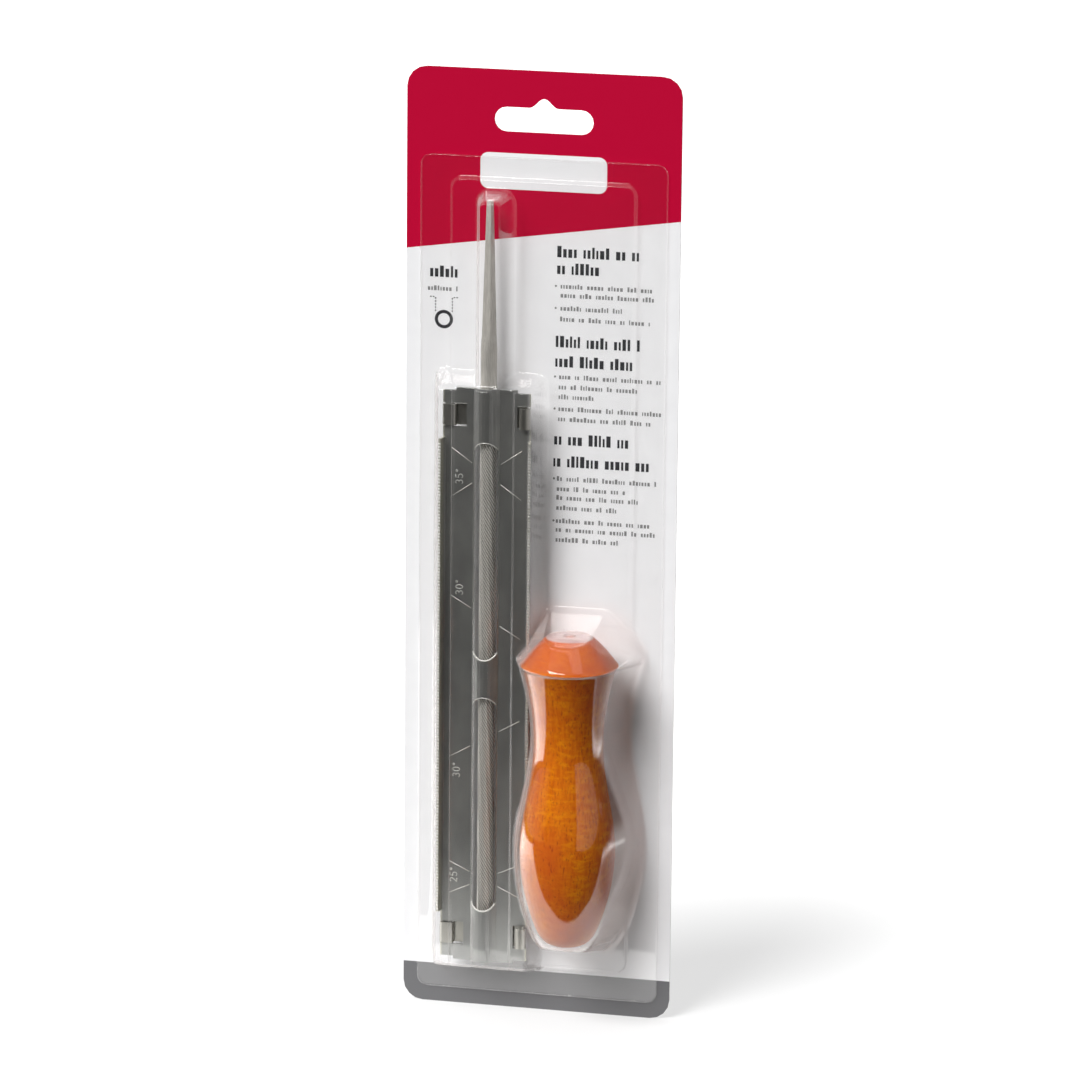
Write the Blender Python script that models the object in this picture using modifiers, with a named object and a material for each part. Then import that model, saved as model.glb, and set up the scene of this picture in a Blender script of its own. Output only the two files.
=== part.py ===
"""A chainsaw file guide in its hanging pack.

A formed steel guide holds a round file with two spring clips. It lies beside a turned wooden
handle on a card, under one clear blister.

Every piece is drawn in the plane of the pack: x to the right, y up the card, z out of its face.
One empty stands that plane upright, so the pack hangs with +Z up and its face towards -Y. The
origin is the middle of the hang slot, on the face of the card.
"""

import math

import bmesh
import bpy

MM = 0.001

# Card. Heights of everything on it are measured up from its lower edge.
CARD_WIDTH = 88.9 * MM
CARD_HEIGHT = 308.8 * MM
CARD_THICKNESS = 0.6 * MM
CARD_CORNER = 6.5 * MM
SLOT_WIDTH = 32.0 * MM
SLOT_HEIGHT = 7.8 * MM
SLOT_FROM_TOP = 15.8 * MM
HUMP_WIDTH = 9.4 * MM
HUMP_RISE = 3.0 * MM

# Clearances between pieces that seat on each other, and how finely round shapes are drawn.
SEAT_GAP = 0.3 * MM
OVERRUN = 2.0 * MM
WELD = 0.01 * MM
CORNER_STEPS = 4
EDGE_STEPS = 3
ARCH_STEPS = 8
EASE_STEPS = 6
SHARP_ANGLE = 35

# Guide plate, a strip of sheet steel with a central ridge and two raised flanges.
GUIDE_X = -15.8 * MM
GUIDE_FOOT = 17.6 * MM
GUIDE_LENGTH = 190.0 * MM
GUIDE_WIDTH = 28.6 * MM
SHEET = 0.8 * MM
PLATE_LIFT = 7.5 * MM
CORNER_STEP = 1.0 * MM
CORNER_STEP_WIDTH = 4.3 * MM
RIDGE_WIDTH = 9.0 * MM
RIDGE_TOP_WIDTH = 4.4 * MM
RIDGE_RISE = 2.0 * MM
RIDGE_TOP_BEND = 5.0 * MM
RIDGE_FOOT_BEND = 0.8 * MM
LAP_RISE = 0.05 * MM
FLANGE_RISE = 2.9 * MM
FLANGE_LEAN = 0.8 * MM
FLANGE_FROM_END = 16.5 * MM
FLANGE_LAP = 1.2 * MM
FLANGE_BEND = 0.8 * MM
WINDOW_WIDTH = 7.9 * MM
WINDOW_FROM_END = 17.3 * MM
WINDOW_ARCH = 2.6 * MM
BRIDGE_LENGTH = 12.3 * MM
HOLE_LEFT = 3.5 * MM
HOLE_WIDTH = 4.2 * MM
EDGE_RECESS = 0.85 * MM
NOTCH_DEPTH = 4.4 * MM

# Witness lines engraved beside the ridge, which set the angle of the file to the chain.
GROOVE_WIDTH = 0.3 * MM
GROOVE_DEPTH = 0.2 * MM
GROOVE_START = 4.6 * MM
GROOVE_END = 11.5 * MM
CROSS_FROM_MIDDLE = 67.3 * MM
SINGLE_FROM_MIDDLE = 20.2 * MM
HEAD_ANGLE = 35
MIDDLE_ANGLE = 30
FOOT_ANGLE = 25

# Spring clips, a bent strip that loops round the plate's left edge and passes behind the file.
CLIP_WIDTH = 6.8 * MM
CLIP_SHEET = 0.6 * MM
CLIP_FROM_END = 8.9 * MM
CLIP_GAP = 0.4 * MM
CLIP_BEND = 0.7 * MM
CLIP_TAB = 3.6 * MM
SADDLE_LEAN = 1.0 * MM
SCROLL_RADIUS = 1.95 * MM
SCROLL_TURN = 225
SCROLL_STEPS = 16

# Round file.
FILE_RADIUS = 2.75 * MM
FILE_FOOT = 18.0 * MM
FILE_BODY = 203.0 * MM
FILE_SMOOTH_NECK = 13.0 * MM
FILE_POINT = 12.0 * MM
FILE_POINT_RADIUS = 2.3 * MM
FILE_ABOVE_PLATE_SHARE = 0.2
FLUTES = 12
FLUTE_DEPTH = 0.16 * MM
FLUTE_LEAD = 48.0 * MM
RINGS_A_TURN = 20
TANG_LENGTH = 47.0 * MM
TANG_SHOULDER = 4.0 * MM
TANG_WIDTH = 4.6 * MM
TANG_DEPTH = 3.4 * MM
TANG_TIP_WIDTH = 2.3 * MM
TANG_TIP_DEPTH = 1.6 * MM
TANG_SQUARE_SHARE = 0.8

# Wooden handle, turned about an axis that lies parallel to the file.
HANDLE_X = 13.9 * MM
HANDLE_LIFT = 17.0 * MM
HANDLE_FOOT = 28.0 * MM
HANDLE_LENGTH = 102.9 * MM
HEAD_RADIUS = 15.7 * MM
HEAD_TOP_RADIUS = 7.0 * MM
HEAD_CONE = 9.2 * MM
HEAD_BULGE = 0.35 * MM
HEAD_RIM = 1.0 * MM
HEAD_EDGE = 0.6 * MM
COVE_LENGTH = 23.7 * MM
COVE_POWER = 1.75
NECK_RADIUS = 11.1 * MM
NECK_LENGTH = 4.0 * MM
BELLY_RADIUS = 15.4 * MM
BELLY_HEIGHT = 32.5 * MM
BORE_RADIUS = 1.9 * MM
BORE_DEPTH = 40.0 * MM
TURNING_STEPS = 40
# Down from the neck's foot to the belly: share of that height, share of the gain in radius.
FLARE_SHARES = ((0.1, 0.06), (0.2, 0.15), (0.3, 0.26), (0.42, 0.41), (0.55, 0.59),
                (0.68, 0.76), (0.8, 0.89), (0.91, 0.97))
# Down from the belly to the end: share of that height, share of the belly's radius.
END_SHARES = ((0.14, 0.99), (0.28, 0.96), (0.42, 0.91), (0.56, 0.835), (0.68, 0.76), (0.79, 0.675),
              (0.88, 0.59), (0.94, 0.5), (0.98, 0.36))

# Blister, one sheet drawn over forms whose walls all lean in by the same draft.
BLISTER_X = 0.3 * MM
BLISTER_WALL = 0.45 * MM
DRAFT_SHARE = 0.26
BORDER_WIDTH = 80.0 * MM
BORDER_FOOT = 5.3 * MM
BORDER_LENGTH = 275.6 * MM
BORDER_CORNER = 3.5 * MM
STEP_WIDTH = 60.6 * MM
STEP_FOOT = 14.4 * MM
STEP_LENGTH = 260.0 * MM
STEP_HEIGHT = 2.2 * MM
STEP_CORNER = 4.0 * MM
FORM_EDGE = 1.1 * MM
SHORT_CORNER = 0.7 * MM
TRAY_HEIGHT = 12.6 * MM
TRAY_SIDE_ROOM = 1.3 * MM
TRAY_END_ROOM = 1.3 * MM
TRAY_CORNER = 5.0 * MM
RIB_WIDTH = 5.0 * MM
RIB_HEIGHT = 1.4 * MM
RIB_PITCH = 12.4 * MM
RIB_INSET = 0.9 * MM
RIB_CORNER = 1.6 * MM
TANG_BUBBLE_X = 1.1 * MM
TANG_BUBBLE_WIDTH = 13.2 * MM
TANG_BUBBLE_HEIGHT = 12.2 * MM
TANG_BUBBLE_ROOM = 3.2 * MM
TANG_BUBBLE_CORNER = 4.6 * MM
DOME_ROOM = 0.8 * MM
DOME_HEAD_ROOM = 1.2 * MM
DOME_FOOT_ROOM = 1.6 * MM
DOME_SIDE_ROOM = 1.4 * MM
DOME_FOOT_RADIUS = 7.0 * MM
DOME_LEDGE = 0.05 * MM
SKIRT_RISE = 2.9 * MM
DOME_STEPS = 32

CARD_BASE = SLOT_FROM_TOP - CARD_HEIGHT
GUIDE_BASE = CARD_BASE + GUIDE_FOOT
GUIDE_MIDDLE = GUIDE_BASE + GUIDE_LENGTH / 2
FILE_LIFT = PLATE_LIFT - FILE_RADIUS + FILE_ABOVE_PLATE_SHARE * 2 * FILE_RADIUS
HALF_GUIDE = GUIDE_WIDTH / 2
CLIP_HEIGHTS = {
    "lower_clip": GUIDE_BASE + CLIP_FROM_END,
    "upper_clip": GUIDE_BASE + GUIDE_LENGTH - CLIP_FROM_END,
}


def clear_scene():
    for obj in list(bpy.data.objects):
        bpy.data.objects.remove(obj, do_unlink=True)


def new_collection(name):
    collection = bpy.data.collections.new(name)
    bpy.context.scene.collection.children.link(collection)
    return collection


def material(name, color, roughness, metallic=0, alpha=1):
    made = bpy.data.materials.new(name)
    made.use_nodes = True
    shader = made.node_tree.nodes["Principled BSDF"]
    shader.inputs["Base Color"].default_value = (*color, 1)
    shader.inputs["Roughness"].default_value = roughness
    shader.inputs["Metallic"].default_value = metallic
    shader.inputs["Alpha"].default_value = alpha
    return made


def arc(center, radius, start, end, steps):
    """Points on an arc, angles in degrees."""
    angles = [math.radians(start + (end - start) * i / steps) for i in range(steps + 1)]
    return [(center[0] + radius * math.cos(a), center[1] + radius * math.sin(a)) for a in angles]


def rectangle(left, right, low, high):
    return [(left, low), (right, low), (right, high), (left, high)]


def rounded_rectangle(left, right, low, high, radius):
    """A rectangle with round corners, anticlockwise from its lower right corner."""
    points = arc((right - radius, low + radius), radius, -90, 0, CORNER_STEPS)
    points += arc((right - radius, high - radius), radius, 0, 90, CORNER_STEPS)
    points += arc((left + radius, high - radius), radius, 90, 180, CORNER_STEPS)
    points += arc((left + radius, low + radius), radius, 180, 270, CORNER_STEPS)
    return points


def offset_loop(points, distance):
    """Moves an anticlockwise outline outward by a distance, with mitred corners."""
    moved = []
    count = len(points)
    for i, (x, y) in enumerate(points):
        before, after = points[i - 1], points[(i + 1) % count]
        ahead = (x - before[0], y - before[1]), (after[0] - x, after[1] - y)
        normals = [(dy / math.hypot(dx, dy), -dx / math.hypot(dx, dy)) for dx, dy in ahead]
        middle = (normals[0][0] + normals[1][0], normals[0][1] + normals[1][1])
        stretch = 2 * distance / (middle[0] ** 2 + middle[1] ** 2)
        moved.append((x + middle[0] * stretch, y + middle[1] * stretch))
    return moved


def rounded_path(corners, radii):
    """An open path with each inner corner rounded to its radius."""
    path = [corners[0]]
    for before, corner, after, radius in zip(corners, corners[1:], corners[2:], radii):
        back = (before[0] - corner[0], before[1] - corner[1])
        ahead = (after[0] - corner[0], after[1] - corner[1])
        cross = back[0] * ahead[1] - back[1] * ahead[0]
        turn = math.atan2(cross, back[0] * ahead[0] + back[1] * ahead[1])
        reach = radius / abs(math.tan(turn / 2))
        start = math.atan2(-back[1], -back[0]) + math.copysign(math.pi / 2, turn)
        center = (
            corner[0] + back[0] / math.hypot(*back) * reach - radius * math.cos(start),
            corner[1] + back[1] / math.hypot(*back) * reach - radius * math.sin(start),
        )
        sweep = -math.copysign(math.pi - abs(turn), turn)
        path += arc(center, radius, math.degrees(start), math.degrees(start + sweep), CORNER_STEPS)
    return path + [corners[-1]]


def strip_outline(path, thickness):
    """The closed outline of a bent strip whose middle follows an open path."""
    left, right = [], []
    last = len(path) - 1
    for i, (x, y) in enumerate(path):
        before, after = path[max(i - 1, 0)], path[min(i + 1, last)]
        dx, dy = after[0] - before[0], after[1] - before[1]
        half = thickness / 2 / math.hypot(dx, dy)
        left.append((x - dy * half, y + dx * half))
        right.append((x + dy * half, y - dx * half))
    return left + right[::-1]


def add_object(name, mesh, collection, finish=None):
    obj = bpy.data.objects.new(name, mesh)
    collection.objects.link(obj)
    obj.parent = PACK
    if finish:
        mesh.materials.append(finish)
    if collection == CUTTERS:
        obj.hide_render = True
        obj.display_type = "WIRE"
    return obj


def prism(name, outlines, low, high, collection, finish=None):
    """Fills flat outlines, where an inner one is a hole, and extrudes them from low to high."""
    curve = bpy.data.curves.new(name, "CURVE")
    curve.dimensions = "2D"
    curve.fill_mode = "BOTH"
    curve.extrude = (high - low) / 2
    for outline in outlines:
        spline = curve.splines.new("POLY")
        spline.points.add(len(outline) - 1)
        for point, (x, y) in zip(spline.points, outline):
            point.co = (x, y, 0, 1)
        spline.use_cyclic_u = True
    drawn = bpy.data.objects.new(name + "_outline", curve)
    bpy.context.scene.collection.objects.link(drawn)
    depsgraph = bpy.context.evaluated_depsgraph_get()
    mesh = bpy.data.meshes.new_from_object(drawn.evaluated_get(depsgraph))
    bpy.data.objects.remove(drawn, do_unlink=True)
    shape = bmesh.new()
    shape.from_mesh(mesh)
    bmesh.ops.remove_doubles(shape, verts=shape.verts, dist=WELD)
    bmesh.ops.translate(shape, verts=shape.verts, vec=(0, 0, (low + high) / 2))
    bmesh.ops.recalc_face_normals(shape, faces=shape.faces)
    shape.to_mesh(mesh)
    shape.free()
    return add_object(name, mesh, collection, finish)


def loft(name, rings, collection, finish=None):
    """Skins a row of rings with the same number of points and closes both ends."""
    shape = bmesh.new()
    rows = [[shape.verts.new(point) for point in ring] for ring in rings]
    for lower, upper in zip(rows, rows[1:]):
        for i in range(len(lower)):
            shape.faces.new((lower[i - 1], lower[i], upper[i], upper[i - 1]))
    shape.faces.new(rows[0])
    shape.faces.new(rows[-1])
    bmesh.ops.recalc_face_normals(shape, faces=shape.faces)
    mesh = bpy.data.meshes.new(name)
    shape.to_mesh(mesh)
    shape.free()
    return add_object(name, mesh, collection, finish)


def turned(name, profile, steps, collection, finish=None):
    """Turns a profile of radius and height about Z. It runs down its outer side."""
    mesh = bpy.data.meshes.new(name)
    points = [(radius, 0, height) for radius, height in profile]
    mesh.from_pydata(points, [(i, i + 1) for i in range(len(points) - 1)], [])
    obj = add_object(name, mesh, collection, finish)
    screw = obj.modifiers.new("Turn", "SCREW")
    screw.steps = steps
    screw.render_steps = steps
    screw.use_merge_vertices = True
    screw.merge_threshold = WELD
    screw.use_smooth_shade = True
    return obj


def boolean(obj, other, operation):
    modifier = obj.modifiers.new(other.name, "BOOLEAN")
    modifier.operation = operation
    modifier.object = other


def shade(obj):
    obj.data.shade_smooth()
    obj.data.set_sharp_from_angle(angle=math.radians(SHARP_ANGLE))


# Card

def hang_slot():
    """A slot with round ends and a hump in the middle of its upper edge."""
    radius = SLOT_HEIGHT / 2
    reach = SLOT_WIDTH / 2 - radius
    points = arc((reach, 0), radius, -90, 90, ARCH_STEPS)
    for i in range(EASE_STEPS * 2 + 1):
        share = i / EASE_STEPS - 1
        rise = HUMP_RISE * (1 + math.cos(math.pi * share)) / 2
        points.append((-share * HUMP_WIDTH / 2, radius + rise))
    return points + arc((-reach, 0), radius, 90, 270, ARCH_STEPS)


def backing_card():
    half = CARD_WIDTH / 2
    outline = rounded_rectangle(-half, half, CARD_BASE, CARD_BASE + CARD_HEIGHT, CARD_CORNER)
    prism("backing_card", [outline, hang_slot()], -CARD_THICKNESS, 0, PARTS, PRINTED_CARD)


# Guide plate

def along_guide(name, outline, low, high, collection, finish=None):
    """A section of x and z, extruded up the guide from low to high."""
    piece = prism(name, [outline], -high, -low, collection, finish)
    piece.rotation_euler = (math.radians(90), 0, 0)
    piece.location = (GUIDE_X, 0, 0)
    return piece


def plate_section():
    """The sheet across its whole width, formed up into the ridge."""
    middle = PLATE_LIFT + SHEET / 2
    foot, crest = RIDGE_WIDTH / 2 - SHEET / 2, RIDGE_TOP_WIDTH / 2
    right = [(crest, middle + RIDGE_RISE), (foot, middle), (HALF_GUIDE, middle)]
    left = [(-x, z) for x, z in reversed(right)]
    bends = (RIDGE_FOOT_BEND, RIDGE_TOP_BEND, RIDGE_TOP_BEND, RIDGE_FOOT_BEND)
    return strip_outline(rounded_path(left + right, bends), SHEET)


def flange_section(side):
    middle = PLATE_LIFT + SHEET / 2 + LAP_RISE
    edge = HALF_GUIDE - SHEET / 2
    corners = [
        (side * (edge - FLANGE_LAP), middle),
        (side * edge, middle + LAP_RISE),
        (side * (edge + FLANGE_LEAN), PLATE_LIFT + SHEET + FLANGE_RISE),
    ]
    return strip_outline(rounded_path(corners, [FLANGE_BEND]), SHEET)


def window(low, high):
    """A window whose two ends are shallow arches."""
    half = WINDOW_WIDTH / 2
    radius = (half ** 2 + WINDOW_ARCH ** 2) / (2 * WINDOW_ARCH)
    spread = math.degrees(math.asin(half / radius))
    points = arc((0, high - radius), radius, 90 - spread, 90 + spread, ARCH_STEPS)
    return points + arc((0, low + radius), radius, 270 - spread, 270 + spread, ARCH_STEPS)


def cut_outs():
    """The two windows, then each clip's hole, recess and notch, then the short outer corners."""
    low, high = GUIDE_BASE, GUIDE_BASE + GUIDE_LENGTH
    cuts = [
        window(low + WINDOW_FROM_END, GUIDE_MIDDLE - BRIDGE_LENGTH / 2),
        window(GUIDE_MIDDLE + BRIDGE_LENGTH / 2, high - WINDOW_FROM_END),
    ]
    edge, past = HALF_GUIDE, HALF_GUIDE + OVERRUN
    half = CLIP_WIDTH / 2 + CLIP_GAP
    hole = HOLE_LEFT - edge
    for y in CLIP_HEIGHTS.values():
        cuts.append(rectangle(hole, hole + HOLE_WIDTH, y - half, y + half))
        cuts.append(rectangle(-past, EDGE_RECESS - edge, y - half, y + half))
        cuts.append(rectangle(edge - NOTCH_DEPTH, past, y - half, y + half))
    step = edge - CORNER_STEP_WIDTH
    for left, right in ((-past, -step), (step, past)):
        cuts.append(rectangle(left, right, low - OVERRUN, low + CORNER_STEP))
        cuts.append(rectangle(left, right, high - CORNER_STEP, high + OVERRUN))
    return cuts


def groove(y, angle, side):
    """One witness line from beside the ridge towards the edge."""
    slope = math.tan(math.radians(angle))
    half = GROOVE_WIDTH / 2 / math.cos(math.radians(angle))
    ends = [(side * reach, y + side * reach * slope) for reach in (GROOVE_START, GROOVE_END)]
    outline = [(x, height - half) for x, height in ends]
    return outline + [(x, height + half) for x, height in reversed(ends)]


def witness_lines():
    """Crosses near the ends for the outer angles, and two single lines between them."""
    lines = []
    for side in (-1, 1):
        for turn in (-1, 1):
            lines.append(groove(GUIDE_MIDDLE + CROSS_FROM_MIDDLE, turn * HEAD_ANGLE, side))
            lines.append(groove(GUIDE_MIDDLE - turn * SINGLE_FROM_MIDDLE, turn * MIDDLE_ANGLE, side))
            lines.append(groove(GUIDE_MIDDLE - CROSS_FROM_MIDDLE, turn * FOOT_ANGLE, side))
    return lines


def guide_plate():
    top = PLATE_LIFT + SHEET
    low, high = GUIDE_BASE, GUIDE_BASE + GUIDE_LENGTH
    plate = along_guide("guide_plate", plate_section(), low, high, PARTS, STEEL)
    for name, side in (("left_flange", -1), ("right_flange", 1)):
        ends = (low + FLANGE_FROM_END, high - FLANGE_FROM_END)
        boolean(plate, along_guide(name, flange_section(side), *ends, CUTTERS), "UNION")
    past = top + RIDGE_RISE + OVERRUN
    openings = prism("cut_outs", cut_outs(), PLATE_LIFT - OVERRUN, past, CUTTERS)
    grooves = prism("witness_lines", witness_lines(), top - GROOVE_DEPTH, top + GROOVE_DEPTH, CUTTERS)
    for cutter in (openings, grooves):
        cutter.location = (GUIDE_X, 0, 0)
        boolean(plate, cutter, "DIFFERENCE")
    shade(plate)


# Spring clips

def hinge_place():
    """The middle of the strip of plate that a clip's loop goes round, as x and z."""
    strip = (EDGE_RECESS + HOLE_LEFT) / 2
    return GUIDE_X - HALF_GUIDE + strip, PLATE_LIFT + SHEET / 2


def clip_section():
    """The strip's path from its end in the hole, round the edge, behind the file, to the scroll."""
    half = CLIP_SHEET / 2
    front = PLATE_LIFT + SHEET + CLIP_GAP + half
    back = PLATE_LIFT - CLIP_GAP - half
    left = -HALF_GUIDE + EDGE_RECESS - CLIP_GAP - half
    behind = FILE_LIFT - FILE_RADIUS - SEAT_GAP - half
    beside = FILE_RADIUS + CLIP_GAP + half
    middle = SCROLL_RADIUS - half
    scroll_x = HALF_GUIDE - SCROLL_RADIUS
    corners = [
        (left + CLIP_TAB + half, back + half + SEAT_GAP),
        (left + CLIP_TAB + half, front),
        (left, front),
        (left, back),
        (-beside - SADDLE_LEAN, back),
        (-beside, behind),
        (beside, behind),
        (beside + SADDLE_LEAN, back),
        (scroll_x, back),
    ]
    path = rounded_path(corners, [CLIP_BEND] * (len(corners) - 2))[:-1]
    path += arc((scroll_x, back + middle), middle, -90, SCROLL_TURN - 90, SCROLL_STEPS)
    hinge_x, hinge_z = hinge_place()
    return strip_outline([(x + GUIDE_X - hinge_x, z - hinge_z) for x, z in path], CLIP_SHEET)


def spring_clips():
    hinge_x, hinge_z = hinge_place()
    for name, y in CLIP_HEIGHTS.items():
        clip = prism(name, [clip_section()], -CLIP_WIDTH / 2, CLIP_WIDTH / 2, PARTS, SPRING_STEEL)
        clip.rotation_euler = (math.radians(90), 0, 0)
        clip.location = (hinge_x, y, hinge_z)
        shade(clip)


# Round file

def fluted_ring(height, radius):
    """A section of the cut length, whose flutes twist with the height."""
    turn = 2 * math.pi * height / FLUTE_LEAD
    points = []
    for i in range(FLUTES * 2):
        reach = radius - (FLUTE_DEPTH if i % 2 else 0)
        angle = math.pi * i / FLUTES + turn
        points.append((reach * math.cos(angle), reach * math.sin(angle), height))
    return points


def plain_ring(height, width, depth, squareness):
    """A section between an ellipse at 0 and a rectangle with cut corners at 1."""
    points = []
    end_turn = 2 * math.pi * (FILE_BODY - FILE_SMOOTH_NECK) / FLUTE_LEAD
    for i in range(FLUTES * 2):
        angle = math.pi * i / FLUTES + end_turn
        x, y = math.cos(angle), math.sin(angle)
        reach = 1 + squareness * (1 / max(abs(x), abs(y)) - 1)
        points.append((x * reach * width / 2, y * reach * depth / 2, height))
    return points


def round_file():
    """The file stands on its own axis, with its point at height zero."""
    cut_end = FILE_BODY - FILE_SMOOTH_NECK
    steps = round(cut_end / FLUTE_LEAD * RINGS_A_TURN)
    rings = []
    for i in range(steps + 1):
        height = cut_end * i / steps
        taper = max(0, 1 - height / FILE_POINT)
        rings.append(fluted_ring(height, FILE_RADIUS - (FILE_RADIUS - FILE_POINT_RADIUS) * taper ** 2))
    smooth = 2 * (FILE_RADIUS - FLUTE_DEPTH)
    rings.append(plain_ring(cut_end + FLUTE_DEPTH, smooth, smooth, 0))
    rings.append(plain_ring(FILE_BODY, smooth, smooth, 0))
    shoulder, tip = FILE_BODY + TANG_SHOULDER, FILE_BODY + TANG_LENGTH
    rings.append(plain_ring(shoulder, TANG_WIDTH, TANG_DEPTH, TANG_SQUARE_SHARE))
    rings.append(plain_ring(tip, TANG_TIP_WIDTH, TANG_TIP_DEPTH, TANG_SQUARE_SHARE))
    file = loft("round_file", rings, PARTS, FILE_STEEL)
    file.rotation_euler = (math.radians(-90), 0, 0)
    file.location = (GUIDE_X, CARD_BASE + FILE_FOOT, FILE_LIFT)
    shade(file)


# Handle

def head_cone(start, end):
    """Points down the head's cone, which bulges a little between its two ends."""
    across, down = end[0] - start[0], end[1] - start[1]
    length = math.hypot(across, down)
    points = []
    for i in range(EDGE_STEPS + 1):
        share = i / EDGE_STEPS
        out = HEAD_BULGE * math.sin(math.pi * share) / length
        points.append((start[0] + across * share - down * out, start[1] + down * share + across * out))
    return points


def handle_side(room=0, foot_room=0, side_room=0):
    """Radius and height down the handle's side, from rim to foot.

    Room is kept all round it. More room is added along the foot, and to the side down from the neck.
    """
    rim_foot = HANDLE_LENGTH - HEAD_CONE - HEAD_RIM
    neck_foot = rim_foot - COVE_LENGTH - NECK_LENGTH
    points = [(HEAD_RADIUS + room, rim_foot + HEAD_EDGE)]
    lip = HEAD_RADIUS - HEAD_EDGE
    for i in range(EASE_STEPS + 1):
        share = i / EASE_STEPS
        radius = NECK_RADIUS + (lip - NECK_RADIUS) * (1 - share) ** COVE_POWER
        points.append((radius + room, rim_foot - COVE_LENGTH * share))
    below = [(NECK_RADIUS, neck_foot)]
    for down, gain in FLARE_SHARES:
        height = neck_foot - (neck_foot - BELLY_HEIGHT) * down
        below.append((NECK_RADIUS + (BELLY_RADIUS - NECK_RADIUS) * gain, height))
    below.append((BELLY_RADIUS, BELLY_HEIGHT))
    for down, radius in END_SHARES:
        below.append((BELLY_RADIUS * radius, BELLY_HEIGHT * (1 - down) - foot_room * down))
    for radius, height in below:
        points.append((radius + room + side_room * (1 - height / neck_foot), height))
    return points


def handle_profile():
    """From the floor of the bore up its wall, over the head and down the outside."""
    top = HANDLE_LENGTH
    rim = top - HEAD_CONE
    points = [(0, top - BORE_DEPTH), (BORE_RADIUS, top - BORE_DEPTH), (BORE_RADIUS, top)]
    points.append((HEAD_TOP_RADIUS - HEAD_EDGE, top))
    cone_foot = (HEAD_RADIUS - HEAD_EDGE, rim + HEAD_EDGE / 2)
    points += head_cone((HEAD_TOP_RADIUS, top - HEAD_EDGE / 2), cone_foot)
    return points + handle_side() + [(0, 0)]


def wood_handle():
    handle = turned("wood_handle", handle_profile(), TURNING_STEPS, PARTS, LACQUERED_WOOD)
    handle.rotation_euler = (math.radians(-90), 0, 0)
    handle.location = (HANDLE_X, CARD_BASE + HANDLE_FOOT, HANDLE_LIFT)


# Blister

def drafted(name, outline_at, height, inset, foot):
    """A form with leaning walls and a rounded front edge, shrunk all round by the inset."""
    top = height - inset
    edge = FORM_EDGE - inset
    rings = []
    for z, extra in [(foot, 0)] + [
        (top - edge + edge * math.sin(a), edge * (1 - math.cos(a)))
        for a in (math.pi / 2 * i / EDGE_STEPS for i in range(EDGE_STEPS + 1))
    ]:
        lean = DRAFT_SHARE * min(z, top - edge)
        rings.append([(x, y, z) for x, y in outline_at(inset + lean + extra)])
    return loft(name, rings, CUTTERS)


def box_outline(left, right, low, high, corner):
    """Gives the outline of a rounded box for any inset of its walls."""
    def outline_at(inset):
        radius = max(corner - inset, SHORT_CORNER)
        return rounded_rectangle(left + inset, right - inset, low + inset, high - inset, radius)
    return outline_at


def dome_profile(inset):
    """Radius and height above the handle's foot, down the outside of the handle's dome."""
    room, foot_room = DOME_ROOM - inset, DOME_FOOT_ROOM - inset
    rim = HANDLE_LENGTH - HEAD_CONE + HEAD_EDGE
    top = (HEAD_TOP_RADIUS + room, HANDLE_LENGTH + DOME_HEAD_ROOM - inset)
    points = head_cone(top, (HEAD_RADIUS + room, rim))
    for radius, height in handle_side(room, foot_room, DOME_SIDE_ROOM):
        if radius > DOME_FOOT_RADIUS + room + DOME_SIDE_ROOM:
            points.append((radius, height))
    return points + [(DOME_FOOT_RADIUS + room, -foot_room)]


def dome(name, inset):
    profile = dome_profile(inset)
    profile = [(0, profile[0][1])] + profile + [(0, profile[-1][1])]
    form = turned(name, profile, DOME_STEPS, CUTTERS)
    form.rotation_euler = (math.radians(-90), 0, 0)
    form.location = (HANDLE_X, CARD_BASE + HANDLE_FOOT, HANDLE_LIFT)
    return form


def skirt(name, inset, foot):
    """The walls that carry the dome down to the card, drafted from its outline."""
    tangent = math.hypot(1, DRAFT_SHARE)
    lean = DRAFT_SHARE * SKIRT_RISE - DOME_LEDGE
    sides = [(radius * tangent - lean, height) for radius, height in dome_profile(inset)]
    base = CARD_BASE + HANDLE_FOOT
    outline = [(HANDLE_X + radius, base + height) for radius, height in reversed(sides)]
    outline += [(HANDLE_X - radius, base + height) for radius, height in sides]
    rings = []
    top = HANDLE_LIFT + SKIRT_RISE
    for z in (foot, top):
        rings.append([(x, y, z) for x, y in offset_loop(outline, DRAFT_SHARE * (top - z))])
    return loft(name, rings, CUTTERS)


def tray_outline():
    side = HALF_GUIDE + TRAY_SIDE_ROOM + DRAFT_SHARE * TRAY_HEIGHT
    end = TRAY_END_ROOM + DRAFT_SHARE * TRAY_HEIGHT
    low, high = GUIDE_BASE - end, GUIDE_BASE + GUIDE_LENGTH + end
    return box_outline(GUIDE_X - side, GUIDE_X + side, low, high, TRAY_CORNER)


def tang_outline():
    middle, half = GUIDE_X + TANG_BUBBLE_X, TANG_BUBBLE_WIDTH / 2
    tip = CARD_BASE + FILE_FOOT + FILE_BODY + TANG_LENGTH
    low = GUIDE_BASE + GUIDE_LENGTH - TRAY_CORNER
    return box_outline(middle - half, middle + half, low, tip + TANG_BUBBLE_ROOM, TANG_BUBBLE_CORNER)


def rib_outline(middle):
    half = RIB_WIDTH / 2 + DRAFT_SHARE * (TRAY_HEIGHT + RIB_HEIGHT)
    end = DRAFT_SHARE * (TRAY_HEIGHT + RIB_HEIGHT) + TRAY_END_ROOM - RIB_INSET
    low, high = GUIDE_BASE - end, GUIDE_BASE + GUIDE_LENGTH + end
    return box_outline(middle - half, middle + half, low, high, RIB_CORNER)


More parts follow.
